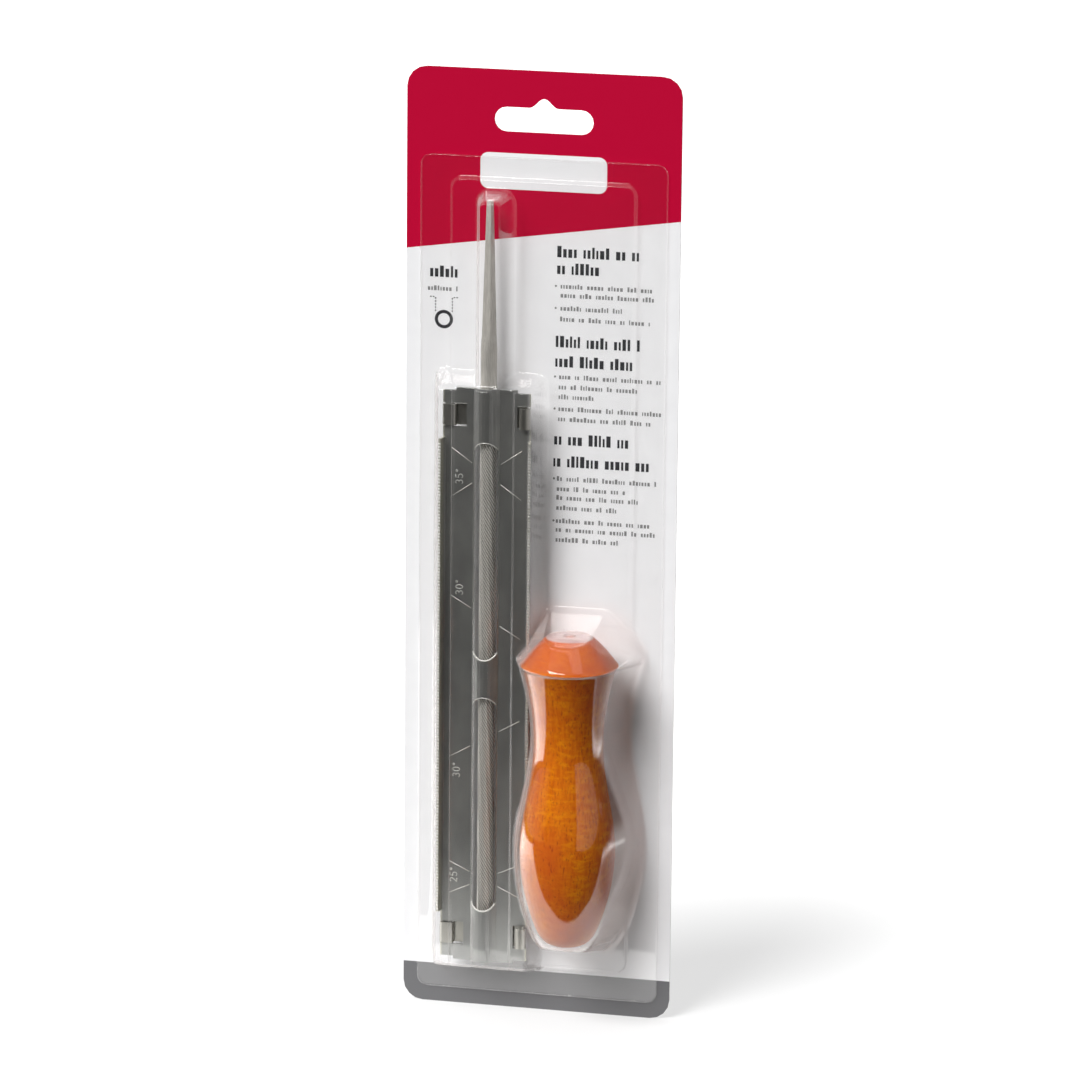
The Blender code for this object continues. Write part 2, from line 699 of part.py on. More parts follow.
def forms(label, inset, foot):
    """The forms under the blister's skin at an inset of 0, or its hollow at one wall's inset."""
    step_half = STEP_WIDTH / 2
    low = CARD_BASE + STEP_FOOT
    step = box_outline(BLISTER_X - step_half, BLISTER_X + step_half, low, low + STEP_LENGTH, STEP_CORNER)
    made = [
        drafted(label + "_step", step, STEP_HEIGHT, inset, foot),
        drafted(label + "_tray", tray_outline(), TRAY_HEIGHT, inset, foot),
        drafted(label + "_tang", tang_outline(), TANG_BUBBLE_HEIGHT, inset, foot),
        skirt(label + "_skirt", inset, foot),
        dome(label + "_dome", inset),
    ]
    for i in range(3):
        rib = rib_outline(GUIDE_X + (i - 1) * RIB_PITCH)
        made.append(drafted(f"{label}_rib_{i}", rib, TRAY_HEIGHT + RIB_HEIGHT, inset, TRAY_HEIGHT / 2))
    return made


def blister_shell():
    half = BORDER_WIDTH / 2
    low = CARD_BASE + BORDER_FOOT
    border = rounded_rectangle(
        BLISTER_X - half, BLISTER_X + half, low, low + BORDER_LENGTH, BORDER_CORNER
    )
    back, front = SEAT_GAP, SEAT_GAP + BLISTER_WALL
    shell = prism("blister_shell", [border], back, front, PARTS, CLEAR_PLASTIC)
    for form in forms("outer", 0, (back + front) / 2):
        boolean(shell, form, "UNION")
    hollow, *others = forms("inner", BLISTER_WALL, -OVERRUN)
    for form in others:
        boolean(hollow, form, "UNION")
    boolean(shell, hollow, "DIFFERENCE")
    shade(shell)


clear_scene()
PARTS = new_collection("chainsaw_file_guide_pack")
CUTTERS = new_collection("cutters")
PACK = bpy.data.objects.new("pack_plane", None)
PARTS.objects.link(PACK)
PACK.rotation_euler = (math.radians(90), 0, 0)

PRINTED_CARD = material("printed_card", (0.86, 0.86, 0.87), 0.45)
CLEAR_PLASTIC = material("clear_plastic", (0.93, 0.94, 0.95), 0.06, alpha=0.25)
STEEL = material("plated_steel", (0.3, 0.31, 0.29), 0.32, metallic=1)
SPRING_STEEL = material("spring_steel", (0.55, 0.56, 0.52), 0.28, metallic=1)
FILE_STEEL = material("file_steel", (0.4, 0.39, 0.36), 0.4, metallic=1)
LACQUERED_WOOD = material("lacquered_wood", (0.55, 0.14, 0.02), 0.25)

backing_card()
guide_plate()
spring_clips()
round_file()
wood_handle()
blister_shell()
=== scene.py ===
"""The looks of a chainsaw file guide in its hanging pack.

The frame gives the pieces and where they are: x to the right, -y out of the card's printed face,
z up. Heights on the card are written up from its lower edge, and depths out from its face.
"""

import math
import random

import bmesh
import bpy
import numpy as np
from mathutils import Matrix, Vector

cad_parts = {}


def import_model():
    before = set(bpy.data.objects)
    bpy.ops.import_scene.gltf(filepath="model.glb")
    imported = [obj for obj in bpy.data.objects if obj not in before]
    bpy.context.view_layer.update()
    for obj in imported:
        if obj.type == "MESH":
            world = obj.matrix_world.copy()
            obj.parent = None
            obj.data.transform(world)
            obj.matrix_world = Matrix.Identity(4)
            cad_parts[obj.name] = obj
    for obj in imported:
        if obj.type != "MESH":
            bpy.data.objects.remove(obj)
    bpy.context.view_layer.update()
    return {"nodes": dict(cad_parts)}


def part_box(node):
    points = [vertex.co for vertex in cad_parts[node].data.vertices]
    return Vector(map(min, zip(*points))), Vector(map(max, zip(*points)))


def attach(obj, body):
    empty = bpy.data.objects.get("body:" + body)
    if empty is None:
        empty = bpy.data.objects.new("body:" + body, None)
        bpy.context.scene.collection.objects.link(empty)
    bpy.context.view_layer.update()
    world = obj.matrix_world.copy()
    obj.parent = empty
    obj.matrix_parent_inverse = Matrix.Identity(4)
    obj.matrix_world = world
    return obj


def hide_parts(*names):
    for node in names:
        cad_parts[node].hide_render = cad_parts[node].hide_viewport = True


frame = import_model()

MM = 0.001
CARD_LOW, CARD_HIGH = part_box("backing_card")
CARD_BASE = CARD_LOW.z
CARD_FACE = CARD_LOW.y
GUIDE_LOW, GUIDE_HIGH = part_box("guide_plate")
GUIDE_X = (GUIDE_LOW.x + GUIDE_HIGH.x) / 2
HANDLE_LOW, HANDLE_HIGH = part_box("wood_handle")
HANDLE_X = (HANDLE_LOW.x + HANDLE_HIGH.x) / 2
HANDLE_LIFT = -(HANDLE_LOW.y + HANDLE_HIGH.y) / 2
HANDLE_FOOT = HANDLE_LOW.z
HANDLE_LENGTH = HANDLE_HIGH.z - HANDLE_LOW.z
FILE_LOW, FILE_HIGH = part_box("round_file")
FILE_X = (FILE_LOW.x + FILE_HIGH.x) / 2
FILE_LIFT = -(FILE_LOW.y + FILE_HIGH.y) / 2

# Turned handle, as in the model: radii, and lengths down from its head.
HEAD_TOP_RADIUS = 7.0 * MM
HEAD_CONE = 9.2 * MM
HEAD_RADIUS = 15.7 * MM
HEAD_BULGE = 0.35 * MM
HEAD_RIM = 1.0 * MM
HEAD_EDGE = 0.6 * MM
COVE_LENGTH = 23.7 * MM
COVE_POWER = 1.75
NECK_RADIUS = 11.1 * MM
NECK_LENGTH = 4.0 * MM
BELLY_RADIUS = 15.4 * MM
BELLY_HEIGHT = 32.5 * MM
BORE_RADIUS = 1.9 * MM
BORE_DEPTH = 40.0 * MM
FLARE_SHARES = ((0.1, 0.06), (0.2, 0.15), (0.3, 0.26), (0.42, 0.41), (0.55, 0.59),
                (0.68, 0.76), (0.8, 0.89), (0.91, 0.97))
END_SHARES = ((0.14, 0.99), (0.28, 0.96), (0.42, 0.91), (0.56, 0.835), (0.68, 0.76), (0.79, 0.675),
              (0.88, 0.59), (0.94, 0.5), (0.98, 0.36))
TURNING_STEPS = 96
CONE_STEPS = 6
COVE_STEPS = 10
HANDLE_CREASE = 50.0

# Colours of the wood under its lacquer. The head is redder, and its flat top is paler: bare end
# grain with a painted highlight.
GRAIN_DARK = (0.5, 0.1, 0.001)
GRAIN_PALE = (0.63, 0.165, 0.002)
FIGURE_GOLD = (0.67, 0.21, 0.001)
PATCH_BROWN = (0.5, 0.08, 0.008)
FLECK_BROWN = (0.22, 0.03, 0.006)
FLECK_SHARE = 0.6
WOOD_BUMP = 0.03 * MM
HEAD_RED = (0.47, 0.07, 0.012)
HEAD_RED_SHARE = 0.6
HEAD_RED_FADE = 2.0 * MM
# The flat top's paler colour: partly end grain, partly a painted highlight from the light on it.
PALE_TOP_AND_HIGHLIGHT = (0.5, 0.35, 0.33)
PALE_TOP_FOOT = 0.7 * MM
PALE_TOP_FULL = 0.4 * MM

# Blister, a sheet drawn over drafted forms. Heights are out from the card's face.
WALL = 0.45 * MM
SEAT_GAP = 0.3 * MM
DRAFT_SHARE = 0.26
BLISTER_X = 0.3 * MM
BORDER_CORNER = 3.5 * MM
STEP_WIDTH = 60.6 * MM
STEP_FOOT = 14.4 * MM
STEP_LENGTH = 260.0 * MM
STEP_HEIGHT = 2.2 * MM
STEP_CORNER = 4.0 * MM
TRAY_HEIGHT = 12.6 * MM
TRAY_ROOM = 1.3 * MM
TRAY_CORNER = 5.0 * MM
RIB_WIDTH = 5.0 * MM
RIB_HEIGHT = 1.4 * MM
RIB_PITCH = 12.4 * MM
RIB_INSET = 0.9 * MM
RIB_CORNER = 1.6 * MM
TANG_BUBBLE_X = 1.1 * MM
TANG_BUBBLE_WIDTH = 13.2 * MM
TANG_BUBBLE_HEIGHT = 12.2 * MM
TANG_BUBBLE_ROOM = 3.2 * MM
TANG_BUBBLE_CORNER = 4.6 * MM
TANG_BUBBLE_FILLET = 1.0 * MM
DOME_ROOM = 0.8 * MM
DOME_HEAD_ROOM = 1.2 * MM
DOME_FOOT_ROOM = 1.6 * MM
DOME_SIDE_ROOM = 1.4 * MM
DOME_FOOT_RADIUS = 7.0 * MM
COVE_FILLET = 3.2 * MM
EDGE_FILLET = 2.0 * MM
RIB_FILLET = 0.7 * MM
DOME_FILLET = 1.2 * MM
# The share of the radius over which the turned part of the dome gives way to its walls.
TANGENT_BLEND = 0.04
GUIDE_LENGTH = 190.0 * MM
GUIDE_WIDTH = 28.6 * MM


def above_card(height):
    """The height above the card's lower edge, as z in the frame."""
    return CARD_BASE + height * MM


# Nodes of the materials and the world

class Nodes:
    """The nodes of a material or world, with short ways to add to them."""

    def __init__(self, owner):
        owner.use_nodes = True
        self.tree = owner.node_tree

    def node(self, kind, inputs=None, **settings):
        made = self.tree.nodes.new("ShaderNode" + kind)
        for key, value in settings.items():
            setattr(made, key, value)
        for key, value in (inputs or {}).items():
            self.feed(made.inputs[key], value)
        return made

    def feed(self, socket, value):
        if isinstance(value, bpy.types.NodeSocket):
            self.tree.links.new(value, socket)
        elif isinstance(value, (tuple, list)) and socket.type == "RGBA" and len(value) == 3:
            socket.default_value = (*value, 1)
        else:
            socket.default_value = value

    def math(self, operation, first, second=0.0, third=None):
        made = self.node("Math", {0: first, 1: second}, operation=operation)
        if third is not None:
            self.feed(made.inputs[2], third)
        return made.outputs[0]

    def times(self, first, second):
        return self.math("MULTIPLY", first, second)

    def line(self, value, slope, start):
        """A value times a slope, plus a start."""
        return self.math("MULTIPLY_ADD", value, slope, start)

    def mix(self, share, first, second):
        """A colour between two others, by a share."""
        made = self.node("Mix", data_type="RGBA")
        self.feed(made.inputs[0], share)
        self.feed(made.inputs[6], first)
        self.feed(made.inputs[7], second)
        return made.outputs[2]

    def place(self, scale=(1, 1, 1)):
        """Object coordinates, which are those of the frame, stretched by a scale."""
        coordinates = self.node("TexCoord").outputs["Object"]
        return self.node("Mapping", {"Vector": coordinates, "Scale": scale}).outputs[0]

    def axes(self):
        split = self.node("SeparateXYZ", {0: self.node("TexCoord").outputs["Object"]})
        return split.outputs[0], split.outputs[1], split.outputs[2]

    def noise(self, scale, detail=4.0, roughness=0.5, stretch=(1, 1, 1), distortion=0.0):
        """Noise with so many cells to the metre, closer along an axis with a larger stretch."""
        made = self.node("TexNoise", {
            "Vector": self.place(stretch), "Scale": scale, "Detail": detail,
            "Roughness": roughness, "Distortion": distortion,
        })
        return made.outputs["Fac"]

    def step(self, value, low, high):
        """Rises smoothly from 0 at low to 1 at high."""
        made = self.node("MapRange", {"Value": value, "From Min": low, "From Max": high},
                         interpolation_type="SMOOTHSTEP")
        return made.outputs[0]

    def distance(self, x, y, x0, y0):
        """How far a place on the floor is from another."""
        across, along = self.math("SUBTRACT", x, x0), self.math("SUBTRACT", y, y0)
        return self.math("SQRT", self.line(across, across, self.times(along, along)))

    def bump(self, height, distance, strength=1.0):
        made = self.node("Bump", {"Height": height, "Distance": distance, "Strength": strength})
        return made.outputs[0]


class Shader(Nodes):
    """A new material and its nodes."""

    def __init__(self, name):
        self.material = bpy.data.materials.new(name)
        super().__init__(self.material)
        self.surface = self.tree.nodes["Principled BSDF"]
        self.output = self.tree.nodes["Material Output"]

    def set(self, **values):
        for key, value in values.items():
            self.feed(self.surface.inputs[key.replace("_", " ")], value)


# Mesh helpers

def add_object(name, data):
    obj = bpy.data.objects.new(name, data)
    bpy.context.scene.collection.objects.link(obj)
    return obj


def add_mesh(name, vertices, faces, material, smooth=True):
    mesh = bpy.data.meshes.new(name)
    mesh.from_pydata([tuple(v) for v in vertices], [], faces)
    mesh.materials.append(material)
    if smooth:
        mesh.shade_smooth()
    return add_object(name, mesh)


def rounded_corners(points, rounds=2):
    """Cuts the corners of an open line of points, a little more with each round."""
    for _ in range(rounds):
        cut = [points[0]]
        for (ax, ay), (bx, by) in zip(points, points[1:]):
            cut.append((ax * 0.75 + bx * 0.25, ay * 0.75 + by * 0.25))
            cut.append((ax * 0.25 + bx * 0.75, ay * 0.25 + by * 0.75))
        points = cut + [points[-1]]
    return points


def tube_faces(start, rows, sides):
    """Faces between the rings of a tube whose points begin at start, and over its two ends."""
    faces, last = [], start + (rows - 1) * sides
    for row in range(start, last, sides):
        for i in range(sides):
            j = (i + 1) % sides
            faces.append((row + i, row + j, row + sides + j, row + sides + i))
    return faces + [range(start, start + sides)[::-1], range(last, last + sides)]


def face_outwards(obj, join=False):
    """Turns all faces outwards, after joining the points that lie on each other if asked."""
    shape = bmesh.new()
    shape.from_mesh(obj.data)
    if join:
        bmesh.ops.remove_doubles(shape, verts=shape.verts, dist=1e-6)
    bmesh.ops.recalc_face_normals(shape, faces=shape.faces)
    shape.to_mesh(obj.data)
    shape.free()


def lathe(name, profile, center, steps, material):
    """Turns a profile of radius and height about the upright axis through center."""
    x0, y0, z0 = center
    vertices, faces = [], []
    for radius, height in profile:
        for i in range(steps):
            angle = 2 * math.pi * i / steps
            across, along = radius * math.cos(angle), radius * math.sin(angle)
            vertices.append((x0 + across, y0 + along, z0 + height))
    for row in range(len(profile) - 1):
        for i in range(steps):
            j = (i + 1) % steps
            low, high = row * steps, (row + 1) * steps
            faces.append((low + i, high + i, high + j, low + j))
    obj = add_mesh(name, vertices, faces, material)
    face_outwards(obj, join=True)
    obj.data.shade_smooth()
    return obj


# Turned handle

def smoothed(points, spacing=0.4, reach=4):
    """An open line resampled evenly and averaged over its neighbours, with its ends kept."""
    line = np.array(points)
    along = np.concatenate([[0], np.cumsum(np.hypot(*np.diff(line, axis=0).T))])
    count = max(2, int(along[-1] / (spacing * MM)))
    places = np.linspace(0, along[-1], count)
    even = np.stack([np.interp(places, along, line[:, k]) for k in range(2)], 1)
    for _ in range(2):
        before = 2 * even[:1] - even[reach:0:-1]
        after = 2 * even[-1:] - even[-2:-reach - 2:-1]
        padded = np.concatenate([before, even, after])
        even = sum(padded[k:k + count] for k in range(2 * reach + 1)) / (2 * reach + 1)
    return [tuple(p) for p in even]


def head_cone(start, end):
    """Points down the head's cone, which bulges a little between its two ends."""
    across, down = end[0] - start[0], end[1] - start[1]
    length = math.hypot(across, down)
    points = []
    for i in range(CONE_STEPS + 1):
        share = i / CONE_STEPS
        out = HEAD_BULGE * math.sin(math.pi * share) / length
        points.append((start[0] + across * share - down * out,
                       start[1] + down * share + across * out))
    return points


def handle_side(room=0.0, foot_room=0.0, side_room=0.0):
    """Radius and height down the handle's side, from rim to foot, with the dome's room round it."""
    rim_foot = HANDLE_LENGTH - HEAD_CONE - HEAD_RIM
    neck_foot = rim_foot - COVE_LENGTH - NECK_LENGTH
    points = [(HEAD_RADIUS + room, rim_foot + HEAD_EDGE)]
    lip = HEAD_RADIUS - HEAD_EDGE
    for i in range(COVE_STEPS + 1):
        share = i / COVE_STEPS
        radius = NECK_RADIUS + (lip - NECK_RADIUS) * (1 - share) ** COVE_POWER
        points.append((radius + room, rim_foot - COVE_LENGTH * share))
    below = [(NECK_RADIUS, neck_foot)]
    for down, gain in FLARE_SHARES:
        height = neck_foot - (neck_foot - BELLY_HEIGHT) * down
        below.append((NECK_RADIUS + (BELLY_RADIUS - NECK_RADIUS) * gain, height))
    below.append((BELLY_RADIUS, BELLY_HEIGHT))
    for down, radius in END_SHARES:
        below.append((BELLY_RADIUS * radius, BELLY_HEIGHT * (1 - down) - foot_room * down))
    for radius, height in below:
        points.append((radius + room + side_room * (1 - height / neck_foot), height))
    return points


def wood():
    """Orange lacquer over figured wood: upright grain, cross shimmer and small dark flecks."""
    shader = Shader("Lacquered wood")
    grain = shader.noise(1100, detail=5, roughness=0.65, stretch=(1, 1, 0.12))
    figure = shader.noise(420, detail=3, roughness=0.6, stretch=(0.6, 0.6, 1.6), distortion=0.3)
    patches = shader.noise(60, detail=3, stretch=(1, 1, 0.5))
    fleck_noise = shader.noise(1700, detail=2, roughness=0.7, stretch=(1, 1, 0.3))
    flecks = shader.step(fleck_noise, 0.57, 0.68)
    color = shader.mix(shader.step(grain, 0.3, 0.7), GRAIN_DARK, GRAIN_PALE)
    color = shader.mix(shader.step(figure, 0.4, 0.75), color, FIGURE_GOLD)
    color = shader.mix(shader.step(patches, 0.42, 0.7), color, PATCH_BROWN)
    color = shader.mix(shader.times(flecks, FLECK_SHARE), color, FLECK_BROWN)
    height = shader.axes()[2]
    head_foot = HANDLE_HIGH.z - HEAD_CONE - HEAD_RIM
    on_head = shader.step(height, head_foot, head_foot + HEAD_RED_FADE)
    color = shader.mix(shader.times(on_head, HEAD_RED_SHARE), color, HEAD_RED)
    # The flat top is painted paler: its end grain, plus a painted highlight where the light falls
    # on it.
    on_top = shader.step(height, HANDLE_HIGH.z - PALE_TOP_FOOT, HANDLE_HIGH.z - PALE_TOP_FULL)
    color = shader.mix(on_top, color, PALE_TOP_AND_HIGHLIGHT)
    surface = shader.math("ADD", grain, shader.times(flecks, -0.8))
    shader.set(Base_Color=color, Roughness=shader.line(grain, 0.12, 0.34),
               Normal=shader.bump(surface, WOOD_BUMP), Specular_IOR_Level=0.12)
    return shader.material


def turned_handle():
    """The handle as one turned form, bored for the file's tang."""
    rim = HANDLE_LENGTH - HEAD_CONE
    edge = HEAD_EDGE
    bore = [(0, HANDLE_LENGTH - BORE_DEPTH), (BORE_RADIUS, HANDLE_LENGTH - BORE_DEPTH)]
    bore += [(BORE_RADIUS, HANDLE_LENGTH - edge), (BORE_RADIUS + edge / 2, HANDLE_LENGTH)]
    head = [(HEAD_TOP_RADIUS - edge * 2, HANDLE_LENGTH),
            (HEAD_TOP_RADIUS, HANDLE_LENGTH - edge / 4)]
    head += head_cone((HEAD_TOP_RADIUS + edge / 2, HANDLE_LENGTH - edge / 2),
                      (HEAD_RADIUS - edge, rim + edge / 2))
    side = handle_side()
    profile = bore + rounded_corners(head + side[:1]) + smoothed(side[1:] + [(0, 0)])
    center = (HANDLE_X, -HANDLE_LIFT, HANDLE_FOOT)
    handle = lathe("turned_handle", profile, center, TURNING_STEPS, wood())
    handle.data.set_sharp_from_angle(angle=math.radians(HANDLE_CREASE))
    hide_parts("wood_handle")
    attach(handle, "handle")


# Blister

def inside_box(x, z, left, right, low, high, corner):
    """How far each point lies inside a rounded box. Outside it is negative."""
    across = np.abs(x - (left + right) / 2) - (right - left) / 2 + corner
    along = np.abs(z - (low + high) / 2) - (high - low) / 2 + corner
    beyond = np.hypot(np.maximum(across, 0), np.maximum(along, 0))
    return corner - beyond - np.minimum(np.maximum(across, along), 0)


def inside_outline(x, z, outline):
    """How far each point lies inside a closed outline. Outside it is negative."""
    nearest = np.full(x.shape, np.inf)
    inside = np.zeros(x.shape, bool)
    for (ax, az), (bx, bz) in zip(outline, outline[1:] + outline[:1]):
        dx, dz = bx - ax, bz - az
        share = np.clip(((x - ax) * dx + (z - az) * dz) / (dx * dx + dz * dz), 0, 1)
        nearest = np.minimum(nearest, np.hypot(x - ax - share * dx, z - az - share * dz))
        if dz:
            crosses = (az > z) != (bz > z)
            inside ^= crosses & (x < ax + (z - az) * dx / dz)
    return np.where(inside, nearest, -nearest)


def smooth_low(a, b, round_by):
    """The lower of two heights, with the crease between them rounded."""
    share = np.clip(0.5 + (b - a) / (2 * round_by), 0, 1)
    return b + (a - b) * share - round_by * share * (1 - share)


def smooth_high(a, b, round_by):
    """The higher of two heights, with the crease between them rounded."""
    return -smooth_low(-a, -b, round_by)


def drafted(inside, height, round_by):
    """A form with walls that lean in by the draft, and a rounded front edge."""
    return smooth_low(inside / DRAFT_SHARE, height + 0 * inside, round_by)


def dome_height(x, z):
    """The handle's bubble: turned above its axis, with walls tangent to it down to the card."""
    top = (HEAD_TOP_RADIUS + DOME_ROOM, HANDLE_LENGTH + DOME_HEAD_ROOM)
    head = head_cone(top, (HEAD_RADIUS + DOME_ROOM, HANDLE_LENGTH - HEAD_CONE + HEAD_EDGE))
    rim, *below = handle_side(DOME_ROOM, DOME_FOOT_ROOM, DOME_SIDE_ROOM)
    below = [p for p in below if p[0] > DOME_FOOT_RADIUS + DOME_ROOM + DOME_SIDE_ROOM]
    below.append((DOME_FOOT_RADIUS + DOME_ROOM, -DOME_FOOT_ROOM))
    side = rounded_corners(head + [rim, below[0]]) + smoothed(below)[1:]
    stretch = math.hypot(1, DRAFT_SHARE)
    right = [(HANDLE_X + r * stretch, HANDLE_FOOT + h) for r, h in side]
    left = [(HANDLE_X - r * stretch, HANDLE_FOOT + h) for r, h in reversed(side)]
    wall = HANDLE_LIFT + inside_outline(x, z, right + left) / DRAFT_SHARE
    heights = np.array([h for _, h in reversed(side)])
    radii = np.array([r for r, _ in reversed(side)])
    radius = np.interp(z - HANDLE_FOOT, heights, radii)
    across = np.abs(x - HANDLE_X) / radius
    turned = HANDLE_LIFT + radius * np.sqrt(np.maximum(1 - across ** 2, 0))
    tangent = 1 / stretch
    beyond = np.clip((across - tangent + TANGENT_BLEND) / TANGENT_BLEND, 0, 1)
    beyond = beyond * beyond * (3 - 2 * beyond)
    lower = smooth_low(turned, wall, DOME_FILLET / 4)
    return lower * (1 - beyond) + wall * beyond


def blister_height(x, z):
    """The front of the sheet, out from the card's face."""
    border = SEAT_GAP + WALL + 0 * x
    half = STEP_WIDTH / 2
    low = above_card(0) + STEP_FOOT
    step = inside_box(x, z, BLISTER_X - half, BLISTER_X + half, low, low + STEP_LENGTH, STEP_CORNER)
    base = smooth_high(border, drafted(step, STEP_HEIGHT, EDGE_FILLET / 2), EDGE_FILLET / 2)
    spread = DRAFT_SHARE * TRAY_HEIGHT
    side, end = GUIDE_WIDTH / 2 + TRAY_ROOM + spread, TRAY_ROOM + spread
    low, high = GUIDE_LOW.z, GUIDE_LOW.z + GUIDE_LENGTH
    tray = inside_box(x, z, GUIDE_X - side, GUIDE_X + side, low - end, high + end, TRAY_CORNER)
    bulk = drafted(tray, TRAY_HEIGHT, EDGE_FILLET)
    for i in range(-1, 2):
        middle = GUIDE_X + i * RIB_PITCH
        spread = DRAFT_SHARE * (TRAY_HEIGHT + RIB_HEIGHT)
        side, end = RIB_WIDTH / 2 + spread, TRAY_ROOM - RIB_INSET + spread
        rib = inside_box(x, z, middle - side, middle + side, low - end, high + end, RIB_CORNER)
        bulk = smooth_high(bulk, drafted(rib, TRAY_HEIGHT + RIB_HEIGHT, RIB_FILLET), RIB_FILLET)
    middle, side = GUIDE_X + TANG_BUBBLE_X, TANG_BUBBLE_WIDTH / 2
    foot, tip = high - TRAY_CORNER, FILE_HIGH.z + TANG_BUBBLE_ROOM
    tang = inside_box(x, z, middle - side, middle + side, foot, tip, TANG_BUBBLE_CORNER)
    bulk = smooth_high(bulk, drafted(tang, TANG_BUBBLE_HEIGHT, TANG_BUBBLE_FILLET), EDGE_FILLET)
    bulk = smooth_high(bulk, dome_height(x, z), COVE_FILLET)
    return smooth_high(base, bulk, COVE_FILLET)


def spaced(stops):
    """Places along a line, from pairs of a stop and the spacing up to it."""
    places = [stops[0][0]]
    for (start, _), (stop, spacing) in zip(stops, stops[1:]):
        count = max(1, round((stop - start) / spacing))
        places += [start + (stop - start) * i / count for i in range(1, count + 1)]
    return np.array(places) * MM


# Clear sheet: what it mirrors face on and how fast that grows, how much of that shadows keep, and
# a painted pale sheen where it is seen edge on, which stands in for the reflections there.
MIRROR_LEAST = 0.04
MIRROR_POWER = 3.8
MIRROR_ROUGHNESS = 0.04
SHADOW_SHARE = 0.2
RIPPLE_BUMP = 0.03 * MM
TINT_FACE = (0.995, 0.995, 0.994)
TINT_EDGE = (0.78, 0.75, 0.745)
TINT_POWER = 3.0
PAINTED_SHEEN = 0.42
PAINTED_SHEEN_FACING = (0.5, 1.0)
PAINTED_SHEEN_PALE = (0.9, 0.87, 0.86)

# The sheet's grid, finer where the walls are: stops across the card, or up it, and the spacing up
# to each, in millimetres.
SHEET_ACROSS = (
    (-39.7, 0), (-35.2, 0.9), (-31.4, 0.4), (-29.9, 0.22), (-26.6, 0.6), (-24.9, 0.22),
    (-19.1, 0.6), (-17.5, 0.22), (-14.2, 0.6), (-10.5, 0.25), (-6.8, 0.6), (-5.0, 0.22),
    (-1.7, 0.6), (0.2, 0.22), (4.5, 0.35), (25.0, 0.55), (37.0, 0.35), (40.3, 0.8),
)
SHEET_UP = (
    (5.3, 0), (9.0, 0.6), (20.0, 0.7), (34.0, 0.8), (112.0, 1.3), (119.0, 0.6), (123.5, 0.3),
    (129.5, 0.6), (134.5, 0.2), (138.0, 0.6), (205.0, 4.0), (218.0, 0.5), (262.0, 4.0),
    (280.9, 0.55),
)


def clear_plastic():
    """Clear sheet: it mirrors more and lets less through the more it is seen edge on."""
    shader = Shader("Clear plastic")
    ripple = shader.noise(60, detail=2, stretch=(1, 1, 0.5))
    normal = shader.bump(ripple, RIPPLE_BUMP)
    facing = shader.node("LayerWeight", {"Blend": 0.5, "Normal": normal}).outputs["Facing"]
    tint = shader.mix(shader.math("POWER", facing, TINT_POWER), TINT_FACE, TINT_EDGE)
    through = shader.node("BsdfTransparent", {"Color": tint}).outputs[0]
    gloss = shader.node("BsdfAnisotropic", {
        "Color": (1, 1, 1), "Roughness": MIRROR_ROUGHNESS, "Normal": normal,
    }).outputs[0]
    edge_on = shader.math("POWER", facing, MIRROR_POWER)
    mirror = shader.line(edge_on, 1 - MIRROR_LEAST, MIRROR_LEAST)
    shadow = shader.node("LightPath").outputs["Is Shadow Ray"]
    mirror = shader.times(mirror, shader.line(shadow, SHADOW_SHARE - 1, 1.0))
    mixed = shader.node("MixShader", {0: mirror, 1: through, 2: gloss})
    # Painted sheen: a pale lit layer where the sheet is seen edge on, standing in for reflections.
    lit = shader.node("BsdfDiffuse", {"Color": PAINTED_SHEEN_PALE}).outputs[0]
    lit_behind = shader.node("BsdfTranslucent", {"Color": PAINTED_SHEEN_PALE}).outputs[0]
    sheen_shader = shader.node("MixShader", {0: 0.5, 1: lit, 2: lit_behind}).outputs[0]
    sheen_share = shader.times(shader.step(facing, *PAINTED_SHEEN_FACING), PAINTED_SHEEN)
    sheen_share = shader.times(sheen_share, shader.line(shadow, -1.0, 1.0))
    with_sheen = shader.node("MixShader", {0: sheen_share, 1: mixed.outputs[0], 2: sheen_shader})
    shader.tree.nodes.remove(shader.surface)
    shader.feed(shader.output.inputs["Surface"], with_sheen.outputs[0])
    return shader.material


def clear_blister():
    """The blister as one drawn sheet, narrower at its ends where its border's corners are round."""
    across, rise = spaced(SHEET_ACROSS), spaced(SHEET_UP) + CARD_BASE
    x, z = np.meshgrid(across, rise)
    from_end = np.minimum(z - rise[0], rise[-1] - z)
    pull = np.clip(BORDER_CORNER - from_end, 0, BORDER_CORNER)
    narrower = BORDER_CORNER - np.sqrt(BORDER_CORNER ** 2 - pull ** 2)
    half = (across[-1] - across[0]) / 2
    x = BLISTER_X + (x - BLISTER_X) * (1 - narrower / half)
    y = -blister_height(x, z)
    rows, columns = x.shape
    vertices = np.stack([x.ravel(), y.ravel(), z.ravel()], 1)
    faces = []
    for r in range(rows - 1):
        for c in range(columns - 1):
            i = r * columns + c
            faces.append((i, i + 1, i + columns + 1, i + columns))
    sheet = add_mesh("clear_blister", vertices, faces, clear_plastic())
    thick = sheet.modifiers.new("Sheet", "SOLIDIFY")
    thick.thickness = WALL
    thick.offset = -1
    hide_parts("blister_shell")
    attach(sheet, "pack")


# Printed card

HEADER_LEFT = 250.1 * MM
HEADER_RIGHT = 263.0 * MM
FOOTER_TOP = 12.9 * MM
RED = (0.49, 0.002, 0.034)
PAPER_WHITE = (0.87, 0.87, 0.88)
PAPER_SHADE = (0.85, 0.85, 0.86)
FOOTER_GREY = (0.16, 0.16, 0.165)
BOARD_DARK = (0.7, 0.69, 0.66)
BOARD_PALE = (0.8, 0.79, 0.76)
PRINT_DEPTH = 0.02 * MM
PAPER_BUMP = 0.01 * MM
INK_RISE = 0.03 * MM
INK_SEAT = 0.02 * MM

